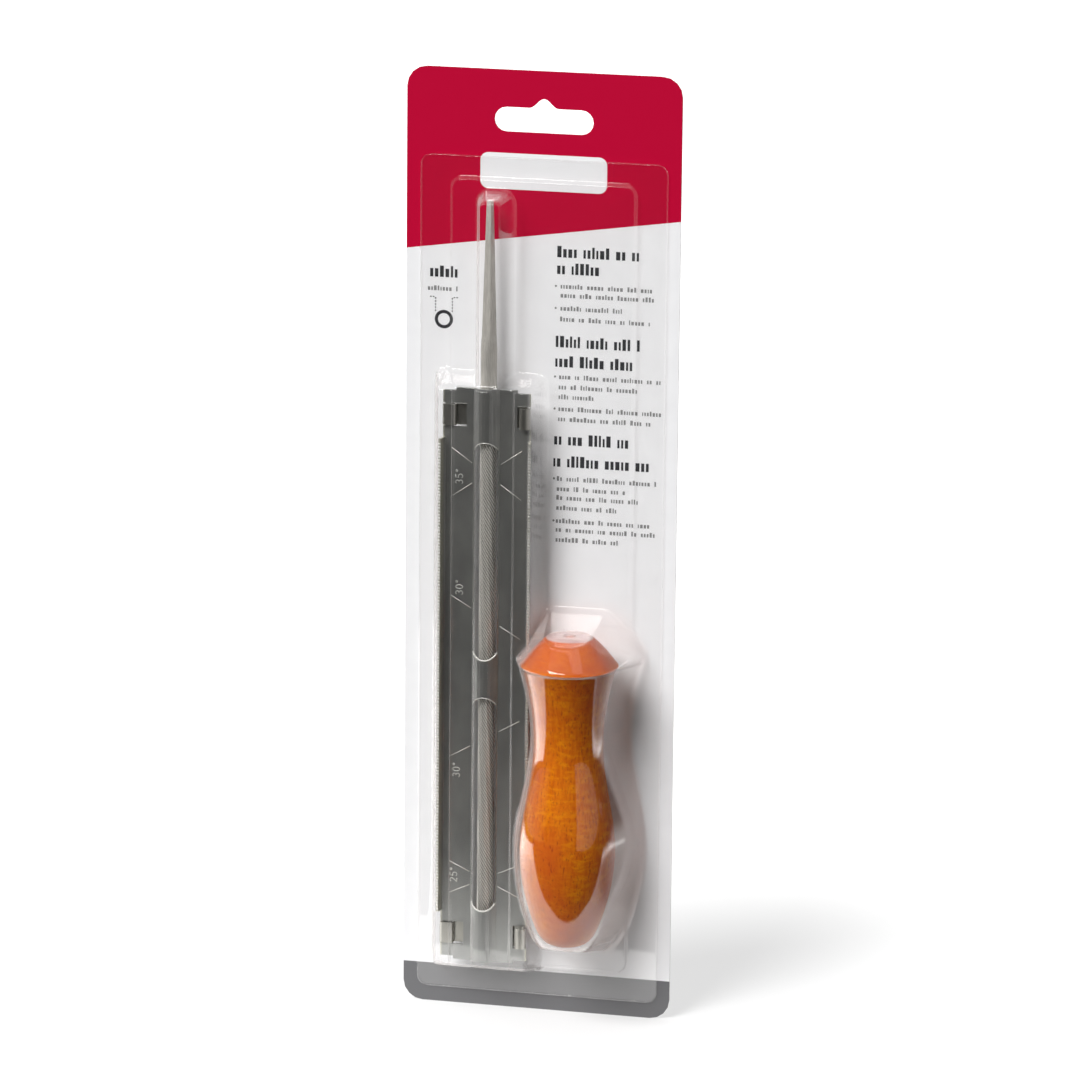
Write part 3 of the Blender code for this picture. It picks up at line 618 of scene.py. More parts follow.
# Rows that stand for headings and for text: height up the card, first and last place across it.
HEADINGS = ((251.0, 4.7, 31.1), (245.6, 4.7, 19.9), (222.0, 4.5, 32.7), (215.6, 4.4, 29.4),
            (190.3, 4.3, 29.3), (183.1, 4.1, 35.8), (242.6, -36.7, -25.4))
TEXT_ROWS = ((240.2, 5.9, 35.8), (237.3, 5.9, 36.7), (233.1, 5.9, 25.8), (229.6, 5.8, 35.1),
             (210.9, 5.7, 39.3), (207.6, 5.6, 32.1), (204.4, 5.6, 17.2), (200.5, 5.6, 38.9),
             (197.2, 5.5, 35.5), (177.7, 5.3, 37.6), (174.4, 5.3, 27.7), (171.5, 5.2, 32.2),
             (168.2, 5.2, 24.8), (163.9, 5.1, 36.6), (161.0, 5.1, 37.4), (157.7, 5.1, 27.2),
             (237.4, -37.4, -27.0))
# A bullet stands before some rows: its left, right, low and high edge, and its corners' radius.
BULLETS = (240.2, 233.1, 210.9, 200.5, 177.7, 163.9)
BULLET = (4.0, 4.7, -0.2, 0.5, 0.34)
# The blocks of a row: least and most width, and the gap after each.
HEADING_HEIGHT = 2.7
HEADING_BLOCKS = (0.6, 1.4, 0.55)
TEXT_HEIGHT = 1.15
TEXT_BLOCKS = (0.35, 0.85, 0.38)
TEXT_SEED = 7
BLOCKS_IN_WORD = (2, 8)
BLOCK_HEIGHTS = (1, 1, 1, 1.35)
WORD_SPACE = 3
# The ring: its middle, and its outer and inner radius. Its brackets are dots down each side of
# it and dashes out from their tops: first place from the ring's edge, half width, low and high.
RING = (-32.1, 227.6, 3.0, 1.95)
RING_STEPS = 32
BRACKET_DOT = (-0.25, 0.22, 2.5, 2.95)
BRACKET_DOTS = 5
BRACKET_DASH = (0.4, 0.25, 7.0, 7.35)
BRACKET_DASHES = 2
DASH_PITCH = 0.9
# The label: left, right, low and high edge, and its corners' radius.
LABEL = (-20.5, 20.5, 270.6, 282.2, 2.6)

# Inks: two colours for each, between which its cover varies.
DARK_INK = ("Dark ink", (0.03, 0.03, 0.034), (0.06, 0.06, 0.064))
GREY_INK = ("Grey ink", (0.2, 0.2, 0.2), (0.3, 0.3, 0.3))
LABEL_INK = ("Label white", (0.83, 0.83, 0.84), (0.87, 0.87, 0.88))


def card_print():
    """White board, printed on its front with a sloped header and a footer."""
    shader = Shader("Printed card")
    x, y, z = shader.axes()
    slope = (HEADER_RIGHT - HEADER_LEFT) / (CARD_HIGH.x - CARD_LOW.x)
    header = shader.line(x, slope, CARD_BASE + (HEADER_LEFT + HEADER_RIGHT) / 2)
    over = shader.math("GREATER_THAN", shader.math("SUBTRACT", z, header), 0.0)
    under = shader.math("LESS_THAN", z, CARD_BASE + FOOTER_TOP)
    front = shader.math("LESS_THAN", y, CARD_FACE + PRINT_DEPTH)
    fibre = shader.noise(2600, detail=3, roughness=0.7)
    mottle = shader.noise(140, detail=3)
    paper = shader.mix(shader.step(mottle, 0.3, 0.7), PAPER_SHADE, PAPER_WHITE)
    print_color = shader.mix(over, paper, RED)
    print_color = shader.mix(under, print_color, FOOTER_GREY)
    board = shader.mix(fibre, BOARD_DARK, BOARD_PALE)
    color = shader.mix(front, board, print_color)
    shader.set(Base_Color=color, Roughness=shader.line(mottle, 0.08, 0.4),
               Normal=shader.bump(fibre, PAPER_BUMP, 0.35), Specular_IOR_Level=0.1)
    return shader.material


def ink(name, color, lighter):
    """Printed ink, a little uneven in its cover."""
    shader = Shader(name)
    cover = shader.noise(1500, detail=3, roughness=0.7)
    shader.set(Base_Color=shader.mix(shader.step(cover, 0.3, 0.75), color, lighter),
               Specular_IOR_Level=0.15, Roughness=shader.line(cover, 0.1, 0.4))
    return shader.material


def printed(name, outlines, material):
    """Thin closed layers of ink on the card, from outlines in its plane, in millimetres."""
    vertices, faces = [], []
    for outline in outlines:
        faces += tube_faces(len(vertices), 2, len(outline))
        for y in (CARD_FACE + INK_SEAT, CARD_FACE - INK_RISE):
            vertices += [(x * MM, y, above_card(z)) for x, z in outline]
    made = add_mesh(name, vertices, faces, material, False)
    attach(made, "pack")


def block(left, right, low, high):
    return [(left, low), (right, low), (right, high), (left, high)]


def rounded_block(left, right, low, high, radius, steps=6):
    points = []
    corners = ((right - radius, low + radius, -90), (right - radius, high - radius, 0),
               (left + radius, high - radius, 90), (left + radius, low + radius, 180))
    for x, z, start in corners:
        for i in range(steps + 1):
            angle = math.radians(start + 90 * i / steps)
            points.append((x + radius * math.cos(angle), z + radius * math.sin(angle)))
    return points


def row_blocks(row, height, blocks, draw):
    """A row of plain blocks in groups, which stands for a row of words."""
    z, place, end = row
    least, most, gap = blocks
    made, left_in_word = [], draw.randint(*BLOCKS_IN_WORD)
    while place < end - least:
        width = min(draw.uniform(least, most), end - place)
        tall = height * draw.choice(BLOCK_HEIGHTS)
        made.append(block(place, place + width, z - height / 2, z - height / 2 + tall))
        left_in_word -= 1
        place += width + gap
        if not left_in_word:
            place += gap * WORD_SPACE
            left_in_word = draw.randint(*BLOCKS_IN_WORD)
    return made


def ring_parts():
    """The ring, in short pieces, and the dotted brackets beside it."""
    x, z, outer, inner = RING
    parts = []
    for i in range(RING_STEPS):
        a, b = 2 * math.pi * i / RING_STEPS, 2 * math.pi * (i + 1) / RING_STEPS
        corners = ((inner, a), (outer, a), (outer, b), (inner, b))
        parts.append([(x + r * math.cos(t), z + r * math.sin(t)) for r, t in corners])
    for side in (-1, 1):
        place, half, low, high = BRACKET_DOT
        middle = x + side * (outer + place)
        for i in range(BRACKET_DOTS):
            parts.append(block(middle - half, middle + half, z + low + i, z + high + i))
        place, half, low, high = BRACKET_DASH
        for i in range(BRACKET_DASHES):
            middle = x + side * (outer + place + i * DASH_PITCH)
            parts.append(block(middle - half, middle + half, z + low, z + high))
    return parts


def card_details():
    """Plain blocks for headings and text, the ring with its brackets, and the bare label."""
    draw = random.Random(TEXT_SEED)
    dark, grey = ink(*DARK_INK), ink(*GREY_INK)
    headings, rows = [], []
    for row in HEADINGS:
        headings += row_blocks(row, HEADING_HEIGHT, HEADING_BLOCKS, draw)
    printed("printed_headings", headings, dark)
    for row in TEXT_ROWS:
        rows += row_blocks(row, TEXT_HEIGHT, TEXT_BLOCKS, draw)
    left, right, low, high, corner = BULLET
    rows += [rounded_block(left, right, z + low, z + high, corner) for z in BULLETS]
    printed("printed_rows", rows, grey)
    printed("printed_ring", ring_parts(), dark)
    printed("printed_label", [rounded_block(*LABEL)], ink(*LABEL_INK))


# Steel

PLATE_FACE = 8.3
RIDGE_RADIUS = 5.4
RIDGE_RISE = 2.0
WINDOW_HALF = 3.95
WINDOW_RADIUS = 4.3
WINDOW_SPREAD = 66.7
# Heights of the ends of the two windows above the guide's foot.
WINDOW_ENDS = ((17.3, -1), (88.85, 1), (101.15, -1), (172.7, 1))
# Figures, their place across the card and the height of their middle.
NUMBERS = (("35o", -24.7, 179.0), ("30o", -24.5, 142.6), ("30o", -25.1, 81.9), ("25o", -25.8, 46.6))
NUMBER_HEIGHT = 2.3
NUMBER_ADVANCE = 1.95
STROKE = 0.14
STROKE_SIDES = 5
# The witness lines: height from the guide's middle, and slope in degrees.
ANGLE_LINES = ((67.3, 35), (67.3, -35), (-20.2, 30), (20.2, -30), (-67.3, 25), (-67.3, -25))
LINE_START = 4.7
LINE_END = 11.4
LINE_RADIUS = 0.17
LINE_SINK = 0.05
RIM_RADII = (0.32, 0.2)
RIM_SINK = 0.08
RIM_STEPS = 16
GUIDE_MIDDLE = 95.0
FLANGE_ENDS = (16.9, 173.1)
FLANGE_SIDE = 14.68
FLANGE_TOP = 11.2
FLANGE_LIGHT_ZONE = (13.5, 14.2)
TOOTH_PITCH = 1.05
TOOTH_STRAY = 0.08
TOOTH_LONG = (0.26, 0.44)
TOOTH_HALF = 0.42
TOOTH_ROOT = 0.2
TOOTH_RISE = 0.3
TOOTH_BEVEL = 0.1
TOOTH_SEED = 11
# Steels: name, colour, roughness, colour of the stains, how metallic, and a paler colour painted on
# the flanges as light.
PLATED = ("Plated steel", (0.41, 0.415, 0.4), 0.36, (0.31, 0.315, 0.305), 0.88,
          (0.66, 0.65, 0.56))
SPRING = ("Spring steel", (0.5, 0.49, 0.45), 0.24, (0.4, 0.39, 0.35), 0.95)
# Pale steel, which on the window rims and the right teeth stands for a painted highlight.
PALE_STEEL_AND_HIGHLIGHT = ("Pale steel and painted highlight", (0.8, 0.8, 0.76), 0.3, (0.66, 0.66, 0.62), 0.6)
# The left teeth are painted whiter still: a painted glint on the side where the light falls.
PAINTED_GLINT = ("Teeth with painted glint", (0.92, 0.92, 0.88), 0.35, (0.8, 0.8, 0.76), 0.2)
SPECKLE_SHARE = 0.35
SPECKLE_GAIN = 1.3
SPECKLE_MOST = 0.95
STEEL_BUMP = 0.012 * MM


def steel(name, color, roughness, tint, metallic, edges=None):
    """Sheet steel: a fine rolled grain along its length, faint stains, and painted light on the
    flanges.
    """
    shader = Shader(name)
    grain = shader.noise(3600, detail=3, roughness=0.6, stretch=(1, 1, 0.04))
    stain = shader.noise(90, detail=4, stretch=(1, 1, 0.5))
    speckle = shader.noise(5200, detail=2)
    base = shader.mix(shader.step(stain, 0.3, 0.72), color, tint)
    lighter = tuple(min(c * SPECKLE_GAIN, SPECKLE_MOST) for c in color)
    speckled = shader.times(shader.step(speckle, 0.55, 0.75), SPECKLE_SHARE)
    base = shader.mix(speckled, base, lighter)
    shine = shader.line(grain, 0.12, roughness)
    # A paler olive colour painted on the flanges stands in for the light on their faces.
    if edges:
        x = shader.axes()[0]
        for side in (-1, 1):
            from_middle = shader.times(shader.math("SUBTRACT", x, GUIDE_X), side)
            flange_light = shader.step(from_middle, FLANGE_LIGHT_ZONE[0] * MM, FLANGE_LIGHT_ZONE[1] * MM)
            base = shader.mix(flange_light, base, edges)
    shader.set(Base_Color=base, Metallic=metallic, Roughness=shine,
               Normal=shader.bump(grain, STEEL_BUMP, 0.6))
    return shader.material


def guide_point(x, height, out):
    """A point on the guide: across from its middle, up from its foot and out, in millimetres."""
    return GUIDE_X + x * MM, -out * MM, GUIDE_LOW.z + height * MM


def tubes(name, paths, radius, material, sides=6):
    """Thin closed tubes of steel on the guide, along open paths of points."""
    vertices, faces = [], []
    for path in paths:
        points = [Vector(p) for p in path]
        faces += tube_faces(len(vertices), len(points), sides)
        for i, point in enumerate(points):
            along = (points[min(i + 1, len(points) - 1)] - points[max(i - 1, 0)]).normalized()
            side = along.cross(Vector((0, -1, 0)))
            if side.length < 1e-6:
                side = Vector((1, 0, 0))
            side.normalize()
            out = side.cross(along)
            for k in range(sides):
                turn = 2 * math.pi * k / sides
                vertices.append(point + (side * math.cos(turn) + out * math.sin(turn)) * radius)
    made = add_mesh(name, vertices, faces, material)
    face_outwards(made)
    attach(made, "pack")


def ridge_face(x):
    """How far out the front of the guide is, at a place across it."""
    if abs(x) >= WINDOW_HALF:
        return PLATE_FACE
    return PLATE_FACE + RIDGE_RISE - RIDGE_RADIUS + math.sqrt(RIDGE_RADIUS ** 2 - x * x)


def arc_points(x, y, across, up, start, end, steps=12):
    """Points on an arc of an ellipse, between two angles in degrees."""
    turns = [math.radians(start + (end - start) * i / steps) for i in range(steps + 1)]
    return [(x + across * math.cos(t), y + up * math.sin(t)) for t in turns]


# Each figure's strokes, in a cell 1 high.
FIGURES = {
    "0": [arc_points(0.3, 0.5, 0.26, 0.5, 0, 360, 20)],
    "2": [arc_points(0.29, 0.74, 0.26, 0.26, 165, -35) + [(0.04, 0), (0.56, 0)]],
    "3": [arc_points(0.28, 0.76, 0.25, 0.24, 150, -90)
          + arc_points(0.28, 0.27, 0.28, 0.27, 90, -150)],
    "5": [[(0.52, 1), (0.1, 1), (0.06, 0.56)] + arc_points(0.27, 0.31, 0.29, 0.31, 125, -150)],
    "o": [arc_points(0.16, 0.86, 0.12, 0.12, 0, 360)],
}


def number_marks(material):
    """The angles stamped beside the witness lines, in single strokes that read up the guide."""
    strokes = []
    for figures, x, z in NUMBERS:
        start = z - NUMBER_ADVANCE * len(figures) / 2
        for i, figure in enumerate(figures):
            for stroke in FIGURES[figure]:
                strokes.append([
                    ((x - (up - 0.5) * NUMBER_HEIGHT) * MM, -PLATE_FACE * MM,
                     above_card(start + i * NUMBER_ADVANCE + across * NUMBER_HEIGHT))
                    for across, up in stroke])
    tubes("plate_numbers", strokes, STROKE * MM, material, STROKE_SIDES)


def plate_details(bright, glint_paint):
    """The numbers, witness lines, window rims and teeth on the plate."""
    number_marks(bright)
    lines = []
    for from_middle, angle in ANGLE_LINES:
        slope = math.tan(math.radians(angle))
        middle = GUIDE_MIDDLE + from_middle
        for side in (-1, 1):
            ends = (side * LINE_START, side * LINE_END)
            lines.append([guide_point(end, middle + end * slope, PLATE_FACE - LINE_SINK)
                          for end in ends])
    tubes("angle_lines", lines, LINE_RADIUS * MM, bright)
    # The rims' pale steel is a painted highlight on the rounded ends of the windows.
    window_rims("lower_rims", RIM_RADII[0] * MM, WINDOW_ENDS[::2], bright)
    window_rims("upper_rims", RIM_RADII[1] * MM, WINDOW_ENDS[1::2], bright)
    # The left teeth are painted whiter than the right ones, as the light falls from the left.
    flange_teeth("left_teeth", -1, glint_paint)
    flange_teeth("right_teeth", 1, bright)


def window_rims(name, radius, ends, material):
    """The rounded edge of the sheet along the arched ends of the windows."""
    rims = []
    for end, up in ends:
        path = []
        for i in range(RIM_STEPS + 1):
            angle = math.radians(WINDOW_SPREAD * (2 * i / RIM_STEPS - 1))
            x = WINDOW_RADIUS * math.sin(angle)
            height = end - up * WINDOW_RADIUS * (1 - math.cos(angle))
            path.append(guide_point(x, height, ridge_face(x) - RIM_SINK))
        rims.append(path)
    tubes(name, rims, radius, material)


def flange_teeth(name, side, material):
    """Small blunt teeth along a flange's edge, of slightly uneven length."""
    draw = random.Random(TOOTH_SEED)
    count = int((FLANGE_ENDS[1] - FLANGE_ENDS[0]) / TOOTH_PITCH)
    vertices, faces = [], []
    for i in range(count):
        middle = FLANGE_ENDS[0] + (i + 0.5) * TOOTH_PITCH + draw.uniform(-TOOTH_STRAY, TOOTH_STRAY)
        long = draw.uniform(*TOOTH_LONG)
        faces += tube_faces(len(vertices), 2, 4)
        for out, bevel in ((FLANGE_TOP - TOOTH_ROOT, 0), (FLANGE_TOP + TOOTH_RISE, TOOTH_BEVEL)):
            across, along = TOOTH_HALF - bevel, long - bevel
            for dx, dz in ((-1, -1), (1, -1), (1, 1), (-1, 1)):
                x = side * FLANGE_SIDE + dx * across
                vertices.append(guide_point(x, middle + dz * along, out))
    made = add_mesh(name, vertices, faces, material, False)
    face_outwards(made)
    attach(made, "pack")


# Round file

FILE_RADIUS = 2.75
FILE_BODY = 203.0
FILE_SMOOTH = 13.0
FILE_POINT = 12.0
FILE_POINT_RADIUS = 2.3
TANG_SHOULDER = 4.0
TANG_WIDTH = 3.7
TANG_DEPTH = 3.0
TANG_TIP_WIDTH = 1.8
TANG_TIP_DEPTH = 1.4
FILE_SIDES = 144
ROW_COUNT = 9
ROW_LEAD = 220.0
ROW_DEPTH = 0.14
CUT_PITCH = 1.4
CUT_STARTS = 19
CUT_DEPTH = 0.24
CUT_STEPS = 4
CUT_FADE = 3.0
END_BEVEL = 0.3
POINT_IN = 0.35
NECK_IN = 0.12
SHOULDER_IN = 0.18
SHOULDER_LENGTH = 1.0
TANG_TURN = 30.0
TANG_SQUARE = 0.88
TANG_BEVEL = 0.4
FILE_CREASE = 30.0
FILE_DARK = (0.52, 0.5, 0.46)
FILE_PALE = (0.66, 0.64, 0.59)
# A painted highlight on the crests of the cuts, and painted shade in their bottoms.
CREST_HIGHLIGHT = (0.95, 0.93, 0.88)
CUT_SHADE = (0.15, 0.145, 0.13)
# Where the painted highlight on a crest and the painted shade in a bottom lie within one cut, from
# 0 to 1.
CREST_HIGHLIGHT_ZONE = (0.3, 0.0)
CUT_SHADE_ZONE = (0.45, 0.8)
CUT_SHADE_SHARE = 0.85


def file_steel():
    """A painted highlight on the crests and painted shade in the bottoms of the cuts, and plain
    steel on the neck and tang.
    """
    shader = Shader("File steel")
    grain = shader.noise(3000, detail=3, stretch=(1, 1, 0.1))
    base = shader.mix(shader.step(grain, 0.3, 0.7), FILE_DARK, FILE_PALE)
    x, y, z = shader.axes()
    across, out = shader.math("SUBTRACT", x, FILE_X), shader.math("ADD", y, FILE_LIFT)
    turn = shader.math("ARCTAN2", out, across)
    height = shader.math("DIVIDE", shader.math("SUBTRACT", z, FILE_LOW.z), MM)
    along = shader.math("DIVIDE", height, CUT_PITCH)
    cut = shader.math("FRACT", shader.line(turn, CUT_STARTS / (2 * math.pi), along))
    in_body = shader.math("LESS_THAN", height, FILE_BODY - FILE_SMOOTH)
    # The crests are painted bright as a highlight, and the bottoms of the cuts dark as shade.
    crest_highlight = shader.times(shader.step(cut, *CREST_HIGHLIGHT_ZONE), in_body)
    cut_shade = shader.times(shader.step(cut, *CUT_SHADE_ZONE), in_body)
    base = shader.mix(crest_highlight, base, CREST_HIGHLIGHT)
    base = shader.mix(shader.times(cut_shade, CUT_SHADE_SHARE), base, CUT_SHADE)
    shader.set(Base_Color=base, Metallic=0.6, Roughness=shader.line(grain, 0.15, 0.3))
    return shader.material


def cut_file():
    """Round file: slanting cuts in rows that twist slowly, a smooth neck and a square tang."""
    vertices = []
    turns = [2 * math.pi * i / FILE_SIDES for i in range(FILE_SIDES)]
    cut_end = FILE_BODY - FILE_SMOOTH

    def ring(height, reach_at):
        for t in turns:
            x, y = reach_at(t)
            vertices.append((FILE_X + x * MM, -FILE_LIFT + y * MM, FILE_LOW.z + height * MM))

    def round_at(radius):
        return lambda t: (radius * math.cos(t), radius * math.sin(t))

    def cut_at(height):
        taper = max(0, 1 - height / FILE_POINT)
        radius = FILE_RADIUS - (FILE_RADIUS - FILE_POINT_RADIUS) * taper ** 2
        fade = min(1, (cut_end - height) / CUT_FADE)

        def reach_at(t):
            row = 0.5 - 0.5 * math.cos(ROW_COUNT * (t + 2 * math.pi * height / ROW_LEAD))
            cut = (height / CUT_PITCH + CUT_STARTS * t / (2 * math.pi)) % 1
            reach = radius - fade * (ROW_DEPTH * (1 - row) + CUT_DEPTH * cut)
            return reach * math.cos(t), reach * math.sin(t)
        return reach_at

    def tang_at(width, depth):
        turned = math.radians(TANG_TURN)

        def reach_at(t):
            x, y = math.cos(t + turned), math.sin(t + turned)
            reach = 1 + TANG_SQUARE * (1 / max(abs(x), abs(y)) - 1)
            x, y = x * reach * width / 2, y * reach * depth / 2
            return (x * math.cos(turned) + y * math.sin(turned),
                    y * math.cos(turned) - x * math.sin(turned))
        return reach_at

    count = int(cut_end / CUT_PITCH * CUT_STEPS)
    ring(0, round_at(FILE_POINT_RADIUS - POINT_IN))
    for i in range(count + 1):
        height = END_BEVEL + (cut_end - END_BEVEL) * i / count
        ring(height, cut_at(height))
    ring(cut_end + END_BEVEL, round_at(FILE_RADIUS - NECK_IN))
    ring(FILE_BODY - SHOULDER_LENGTH, round_at(FILE_RADIUS - NECK_IN))
    ring(FILE_BODY, round_at(FILE_RADIUS - SHOULDER_IN))
    shoulder, top = FILE_BODY + TANG_SHOULDER, (FILE_HIGH.z - FILE_LOW.z) / MM
    ring(shoulder, tang_at(TANG_WIDTH, TANG_DEPTH))
    ring(shoulder + SHOULDER_LENGTH, tang_at(TANG_WIDTH, TANG_DEPTH))
    ring(top - TANG_BEVEL, tang_at(TANG_TIP_WIDTH, TANG_TIP_DEPTH))
    ring(top, tang_at(TANG_TIP_WIDTH - TANG_BEVEL, TANG_TIP_DEPTH - TANG_BEVEL))
    faces = tube_faces(0, len(vertices) // FILE_SIDES, FILE_SIDES)
    made = add_mesh("cut_file", vertices, faces, file_steel())
    made.data.set_sharp_from_angle(angle=math.radians(FILE_CREASE))
    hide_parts("round_file")
    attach(made, "file")


def assign(node, material):
    """Gives a node of the frame its material."""
    obj = frame["nodes"][node]
    obj.data.materials.clear()
    obj.data.materials.append(material)


# Studio

CAMERA_PLACE = (0.4205, -1.8133, 0.3209)
CAMERA_AXES = ((0.9736, 0.2281, 0.0094), (-0.0633, 0.2299, 0.9712), (0.2194, -0.9461, 0.2382))
LENS = 199.77
SENSOR_WIDTH = 36.0
# The floor in reflections: a bright table with a slanted front edge, which fades in from each
# side, glows more far from the pack, and lights the pack less than it shows.
TABLE_FRONT = 75.0 * MM
TABLE_TURN = 0.25
TABLE_EDGE = 2.0 * MM
TABLE_SIDES = ((-0.55, -0.5), (0.51, 0.26))
GLOW_COLOR = (1, 0.99, 0.98)
GLOW_NEAR = 1.9
GLOW_FAR = 3.7
GLOW_FADE = (0.1, 0.35)
TABLE_BOUNCE = 0.5
FRONT_GLOW = 0.04
# Where the pack's own shadow dims the floor in reflections.
SHADE_PLACE = (0.17, 0.1)
SHADE_FADE = (0.18, 0.09)
FAR_SHADE_X = (0.06, 0.14)
FAR_SHADE_Y = (0.17, 0.24)
SHADE_DEPTH = 0.8
FLOOR_SIZE = 12.0
KEY_TOWARD = (-0.347, -0.602, 0.719)
KEY_SPREAD = 32.0
KEY_STRENGTH = 3.95
# The key's soft box as it shows in reflections: directions of its corners, in degrees round and up.
KEY_BOX = ((-58, 28), (-30, 36), (3, 40), (3, 43), (-30, 47), (-58, 49))
KEY_DISTANCE = 1.6
KEY_GLOW = 13.0
PANEL_COLOR = (1, 0.98, 0.97)
PANEL_TOP = 1.0
# The right panel's back edge is round: where it starts, how it leans, reaches and rounds.
RIGHT_X = 0.45
RIGHT_START = -0.72
RIGHT_LEAN = 0.6
RIGHT_REACH = 1.15
RIGHT_ROUND = 0.7
RIGHT_STEPS = 24
RIGHT_GLOW = 0.5
LEFT_X = -0.8
LEFT_ENDS = (-1.3, 0.6)
LEFT_FADE = 1.4
LEFT_GLOW = 0.38
# The floor is paler far from the pack, so that the shadow fades out.
FLOOR_GREY = (0.4, 0.4, 0.4)
FLOOR_NEAR = 0.48
FLOOR_GAIN = 0.5
FLOOR_FADE = (0.08, 0.3)
# The world: pale behind the pack and above it, with dark in front. Metal and gloss see more behind,
# less in front, and a pale strip overhead on the side away from the key.
BEHIND = (-0.2194, 0.9461, 0.0)
BEHIND_FADE = (-0.05, 0.1)
BEHIND_LEVEL = 0.9
BEHIND_GAIN = 0.55
UP = (0, 0, 1)
ABOVE_FADE = (0.3, 0.75)
ABOVE_LEVEL = 0.45
FRONT_LEVEL = 0.35
FRONT_MIRRORED = 0.04
KEY_SIDE = (-0.515, -0.857, 0)
KEY_SIDE_FADE = (0.28, 0.36)
OVERHEAD_FADE = (0.6, 0.72)


def camera():
    """The photograph's place, direction and lens."""
    data = bpy.data.cameras.new("camera")
    data.lens = LENS
    data.sensor_width = SENSOR_WIDTH
    data.clip_start = 0.05
    made = add_object("camera", data)
    turn = Matrix(CAMERA_AXES).transposed().to_4x4()
    made.matrix_world = Matrix.Translation(CAMERA_PLACE) @ turn
    bpy.context.scene.camera = made


def key():
    """A soft light from far away, which lights the pack and the floor evenly."""
    data = bpy.data.lights.new("key", "SUN")
    data.energy = KEY_STRENGTH
    data.angle = math.radians(KEY_SPREAD)
    made = add_object("key", data)
    made.rotation_euler = Vector(KEY_TOWARD).to_track_quat("Z", "Y").to_euler()
    made.visible_glossy = False


def floor():
    """Pale floor. In reflections it is dark in front of an edge just before the pack, bright
    behind it, and dimmer in the pack's shade."""
    shader = Shader("Pale floor")
    x, y, _ = shader.axes()
    edge = shader.line(x, TABLE_TURN, -TABLE_FRONT)
    behind = shader.step(shader.math("SUBTRACT", y, edge), -TABLE_EDGE, TABLE_EDGE)
    for fade in TABLE_SIDES:
        behind = shader.times(behind, shader.step(x, *fade))
    path = shader.node("LightPath")
    away = shader.distance(x, y, 0.0, 0.0)
    glow = shader.line(shader.step(away, *GLOW_FADE), GLOW_FAR - GLOW_NEAR,
                       GLOW_NEAR - TABLE_BOUNCE)
    mirrored = shader.line(path.outputs["Is Glossy Ray"], glow, TABLE_BOUNCE)
    shade = shader.step(shader.distance(x, y, *SHADE_PLACE), *SHADE_FADE)
    far = shader.times(shader.step(x, *FAR_SHADE_X), shader.step(y, *FAR_SHADE_Y))
    shade = shader.math("MAXIMUM", shade, far)
    behind = shader.times(behind, shader.line(shade, -SHADE_DEPTH, 1.0))
    level = shader.line(behind, mirrored, FRONT_GLOW)
    glow = shader.node("Emission", {"Color": GLOW_COLOR, "Strength": level}).outputs[0]
    seen = shader.math("MAXIMUM", path.outputs["Is Camera Ray"],
                       path.outputs["Is Transmission Ray"])
    paler = shader.line(shader.step(away, *FLOOR_FADE), FLOOR_GAIN, FLOOR_NEAR)
    shader.set(Base_Color=FLOOR_GREY, Roughness=0.8, Specular_IOR_Level=0.0,
               Emission_Color=(1, 1, 1), Emission_Strength=paler)
    mixed = shader.node("MixShader", {0: seen, 1: glow, 2: shader.surface.outputs[0]})
    shader.feed(shader.output.inputs["Surface"], mixed.outputs[0])
    half = FLOOR_SIZE / 2
    corners = [(x, y, CARD_BASE) for x, y in block(-half, half, -half, half)]
    made = add_mesh("floor", corners, [(0, 1, 2, 3)], shader.material, False)


def panel(name, corners, strength, fade=None):
    """A pale panel that only shows in reflections, and dims over a length towards its front."""
    shader = Shader(name)
    if fade:
        front = corners[0][1]
        pale = shader.step(shader.axes()[1], front, front + fade)
        strength = shader.times(pale, strength)
    glow = shader.node("Emission", {"Color": PANEL_COLOR, "Strength": strength}).outputs[0]
    shader.tree.nodes.remove(shader.surface)
    shader.feed(shader.output.inputs["Surface"], glow)
    made = add_mesh(name, corners, [range(len(corners))], shader.material, False)
    made.visible_camera = False
    made.visible_diffuse = False
    made.visible_shadow = False
    made.visible_transmission = False


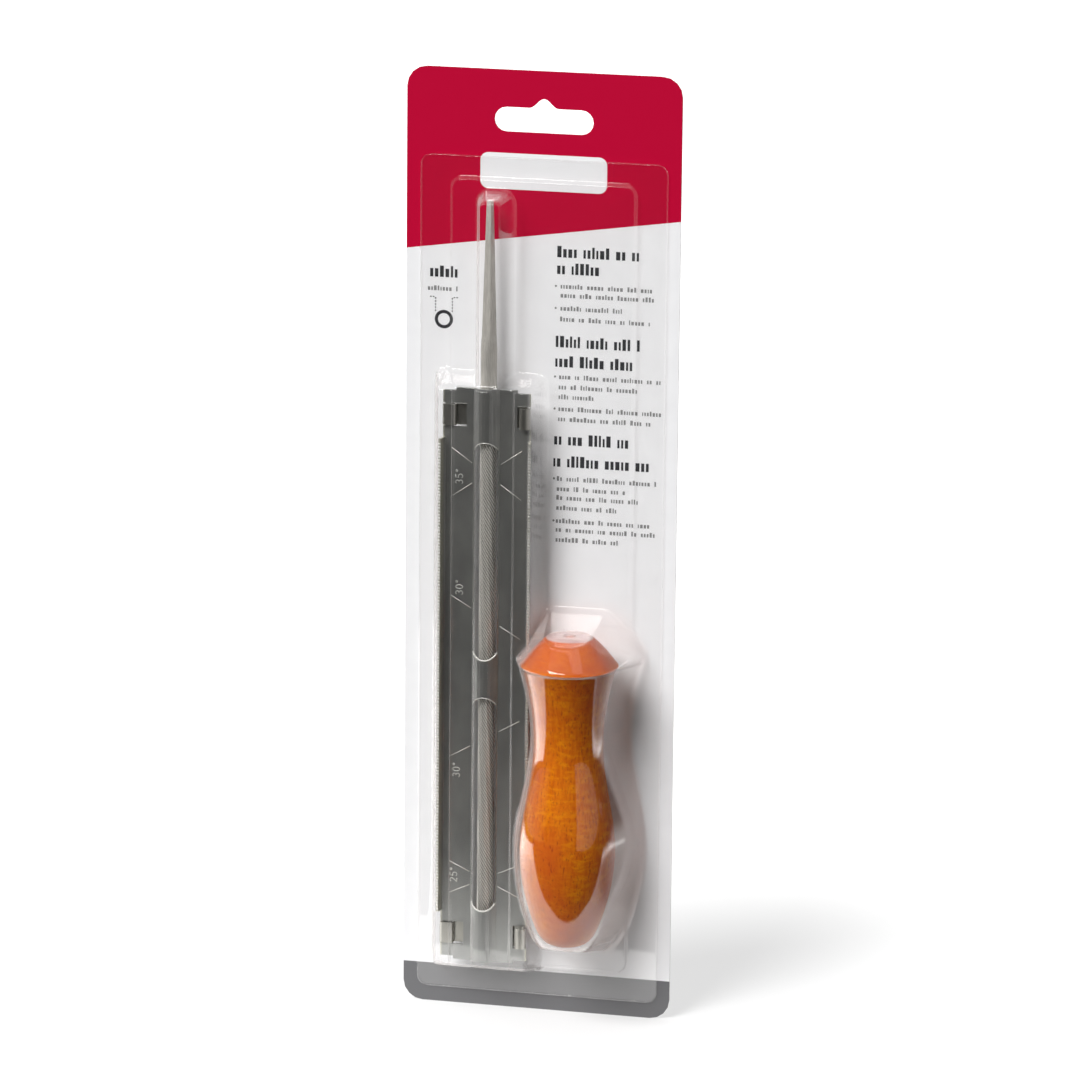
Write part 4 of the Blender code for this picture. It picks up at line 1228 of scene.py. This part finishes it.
def panels():
    """What the metal and the clear sheet mirror: a panel on each side, and the key's soft box."""
    rounded = []
    for i in range(RIGHT_STEPS + 1):
        turn = math.radians(-90 + 180 * i / RIGHT_STEPS)
        up = 0.5 + 0.5 * math.sin(turn)
        round_out = RIGHT_REACH * math.cos(turn) ** RIGHT_ROUND
        along = RIGHT_START + RIGHT_LEAN * up + round_out
        rounded.append((RIGHT_X, along, CARD_BASE + (PANEL_TOP - CARD_BASE) * up))
    panel("right_panel", rounded, RIGHT_GLOW)
    box = []
    for around, up in KEY_BOX:
        around, up = math.radians(around), math.radians(up)
        level = math.cos(up)
        toward = Vector((math.sin(around) * level, -math.cos(around) * level, math.sin(up)))
        reach = KEY_DISTANCE / toward.dot(Vector(KEY_TOWARD))
        box.append(Vector((0, 0, HANDLE_HIGH.z)) + toward * reach)
    panel("key_box", box, KEY_GLOW)
    upright = [(LEFT_X, y, z) for y, z in block(*LEFT_ENDS, CARD_BASE, PANEL_TOP)]
    panel("left_panel", upright, LEFT_GLOW, LEFT_FADE)


def world():
    """White to the camera. It lights and mirrors as dark in front, and pale behind and above."""
    made = bpy.data.worlds.new("world")
    bpy.context.scene.world = made
    sky = Nodes(made)
    toward = sky.node("TexCoord").outputs["Generated"]

    def ramp(direction, low, high, dark, pale):
        dot = sky.node("VectorMath", {0: toward, 1: direction}, operation="DOT_PRODUCT")
        level = sky.node("MapRange", {
            "Value": dot.outputs["Value"],
            "From Min": low, "From Max": high, "To Min": dark, "To Max": pale,
        })
        return level.outputs[0]

    path = sky.node("LightPath").outputs
    glossy = path["Is Glossy Ray"]
    behind = ramp(BEHIND, *BEHIND_FADE, 0.0, BEHIND_LEVEL)
    level = sky.times(behind, sky.line(glossy, BEHIND_GAIN, 1.0))
    level = sky.math("MAXIMUM", level, ramp(UP, *ABOVE_FADE, 0.0, ABOVE_LEVEL))
    front = sky.line(glossy, FRONT_MIRRORED - FRONT_LEVEL, FRONT_LEVEL)
    level = sky.math("MAXIMUM", level, front)
    away_from_key = ramp(KEY_SIDE, *KEY_SIDE_FADE, 1.0, 0.0)
    overhead = sky.times(away_from_key, ramp(UP, *OVERHEAD_FADE, 0.0, 1.0))
    level = sky.math("MAXIMUM", level, sky.times(overhead, glossy))
    back = sky.tree.nodes["Background"]
    sky.feed(back.inputs["Color"], (1, 1, 1))
    sky.feed(back.inputs["Strength"], sky.math("MAXIMUM", path["Is Camera Ray"], level))


def studio():
    """The world, floor, panels, key and camera, with plain view settings."""
    world()
    floor()
    panels()
    key()
    camera()
    bpy.context.scene.view_settings.view_transform = "Standard"


turned_handle()
clear_blister()
assign("backing_card", card_print())
card_details()
assign("guide_plate", steel(*PLATED))
spring_steel = steel(*SPRING)
assign("upper_clip", spring_steel)
assign("lower_clip", spring_steel)
plate_details(steel(*PALE_STEEL_AND_HIGHLIGHT), steel(*PAINTED_GLINT))
cut_file()
studio()
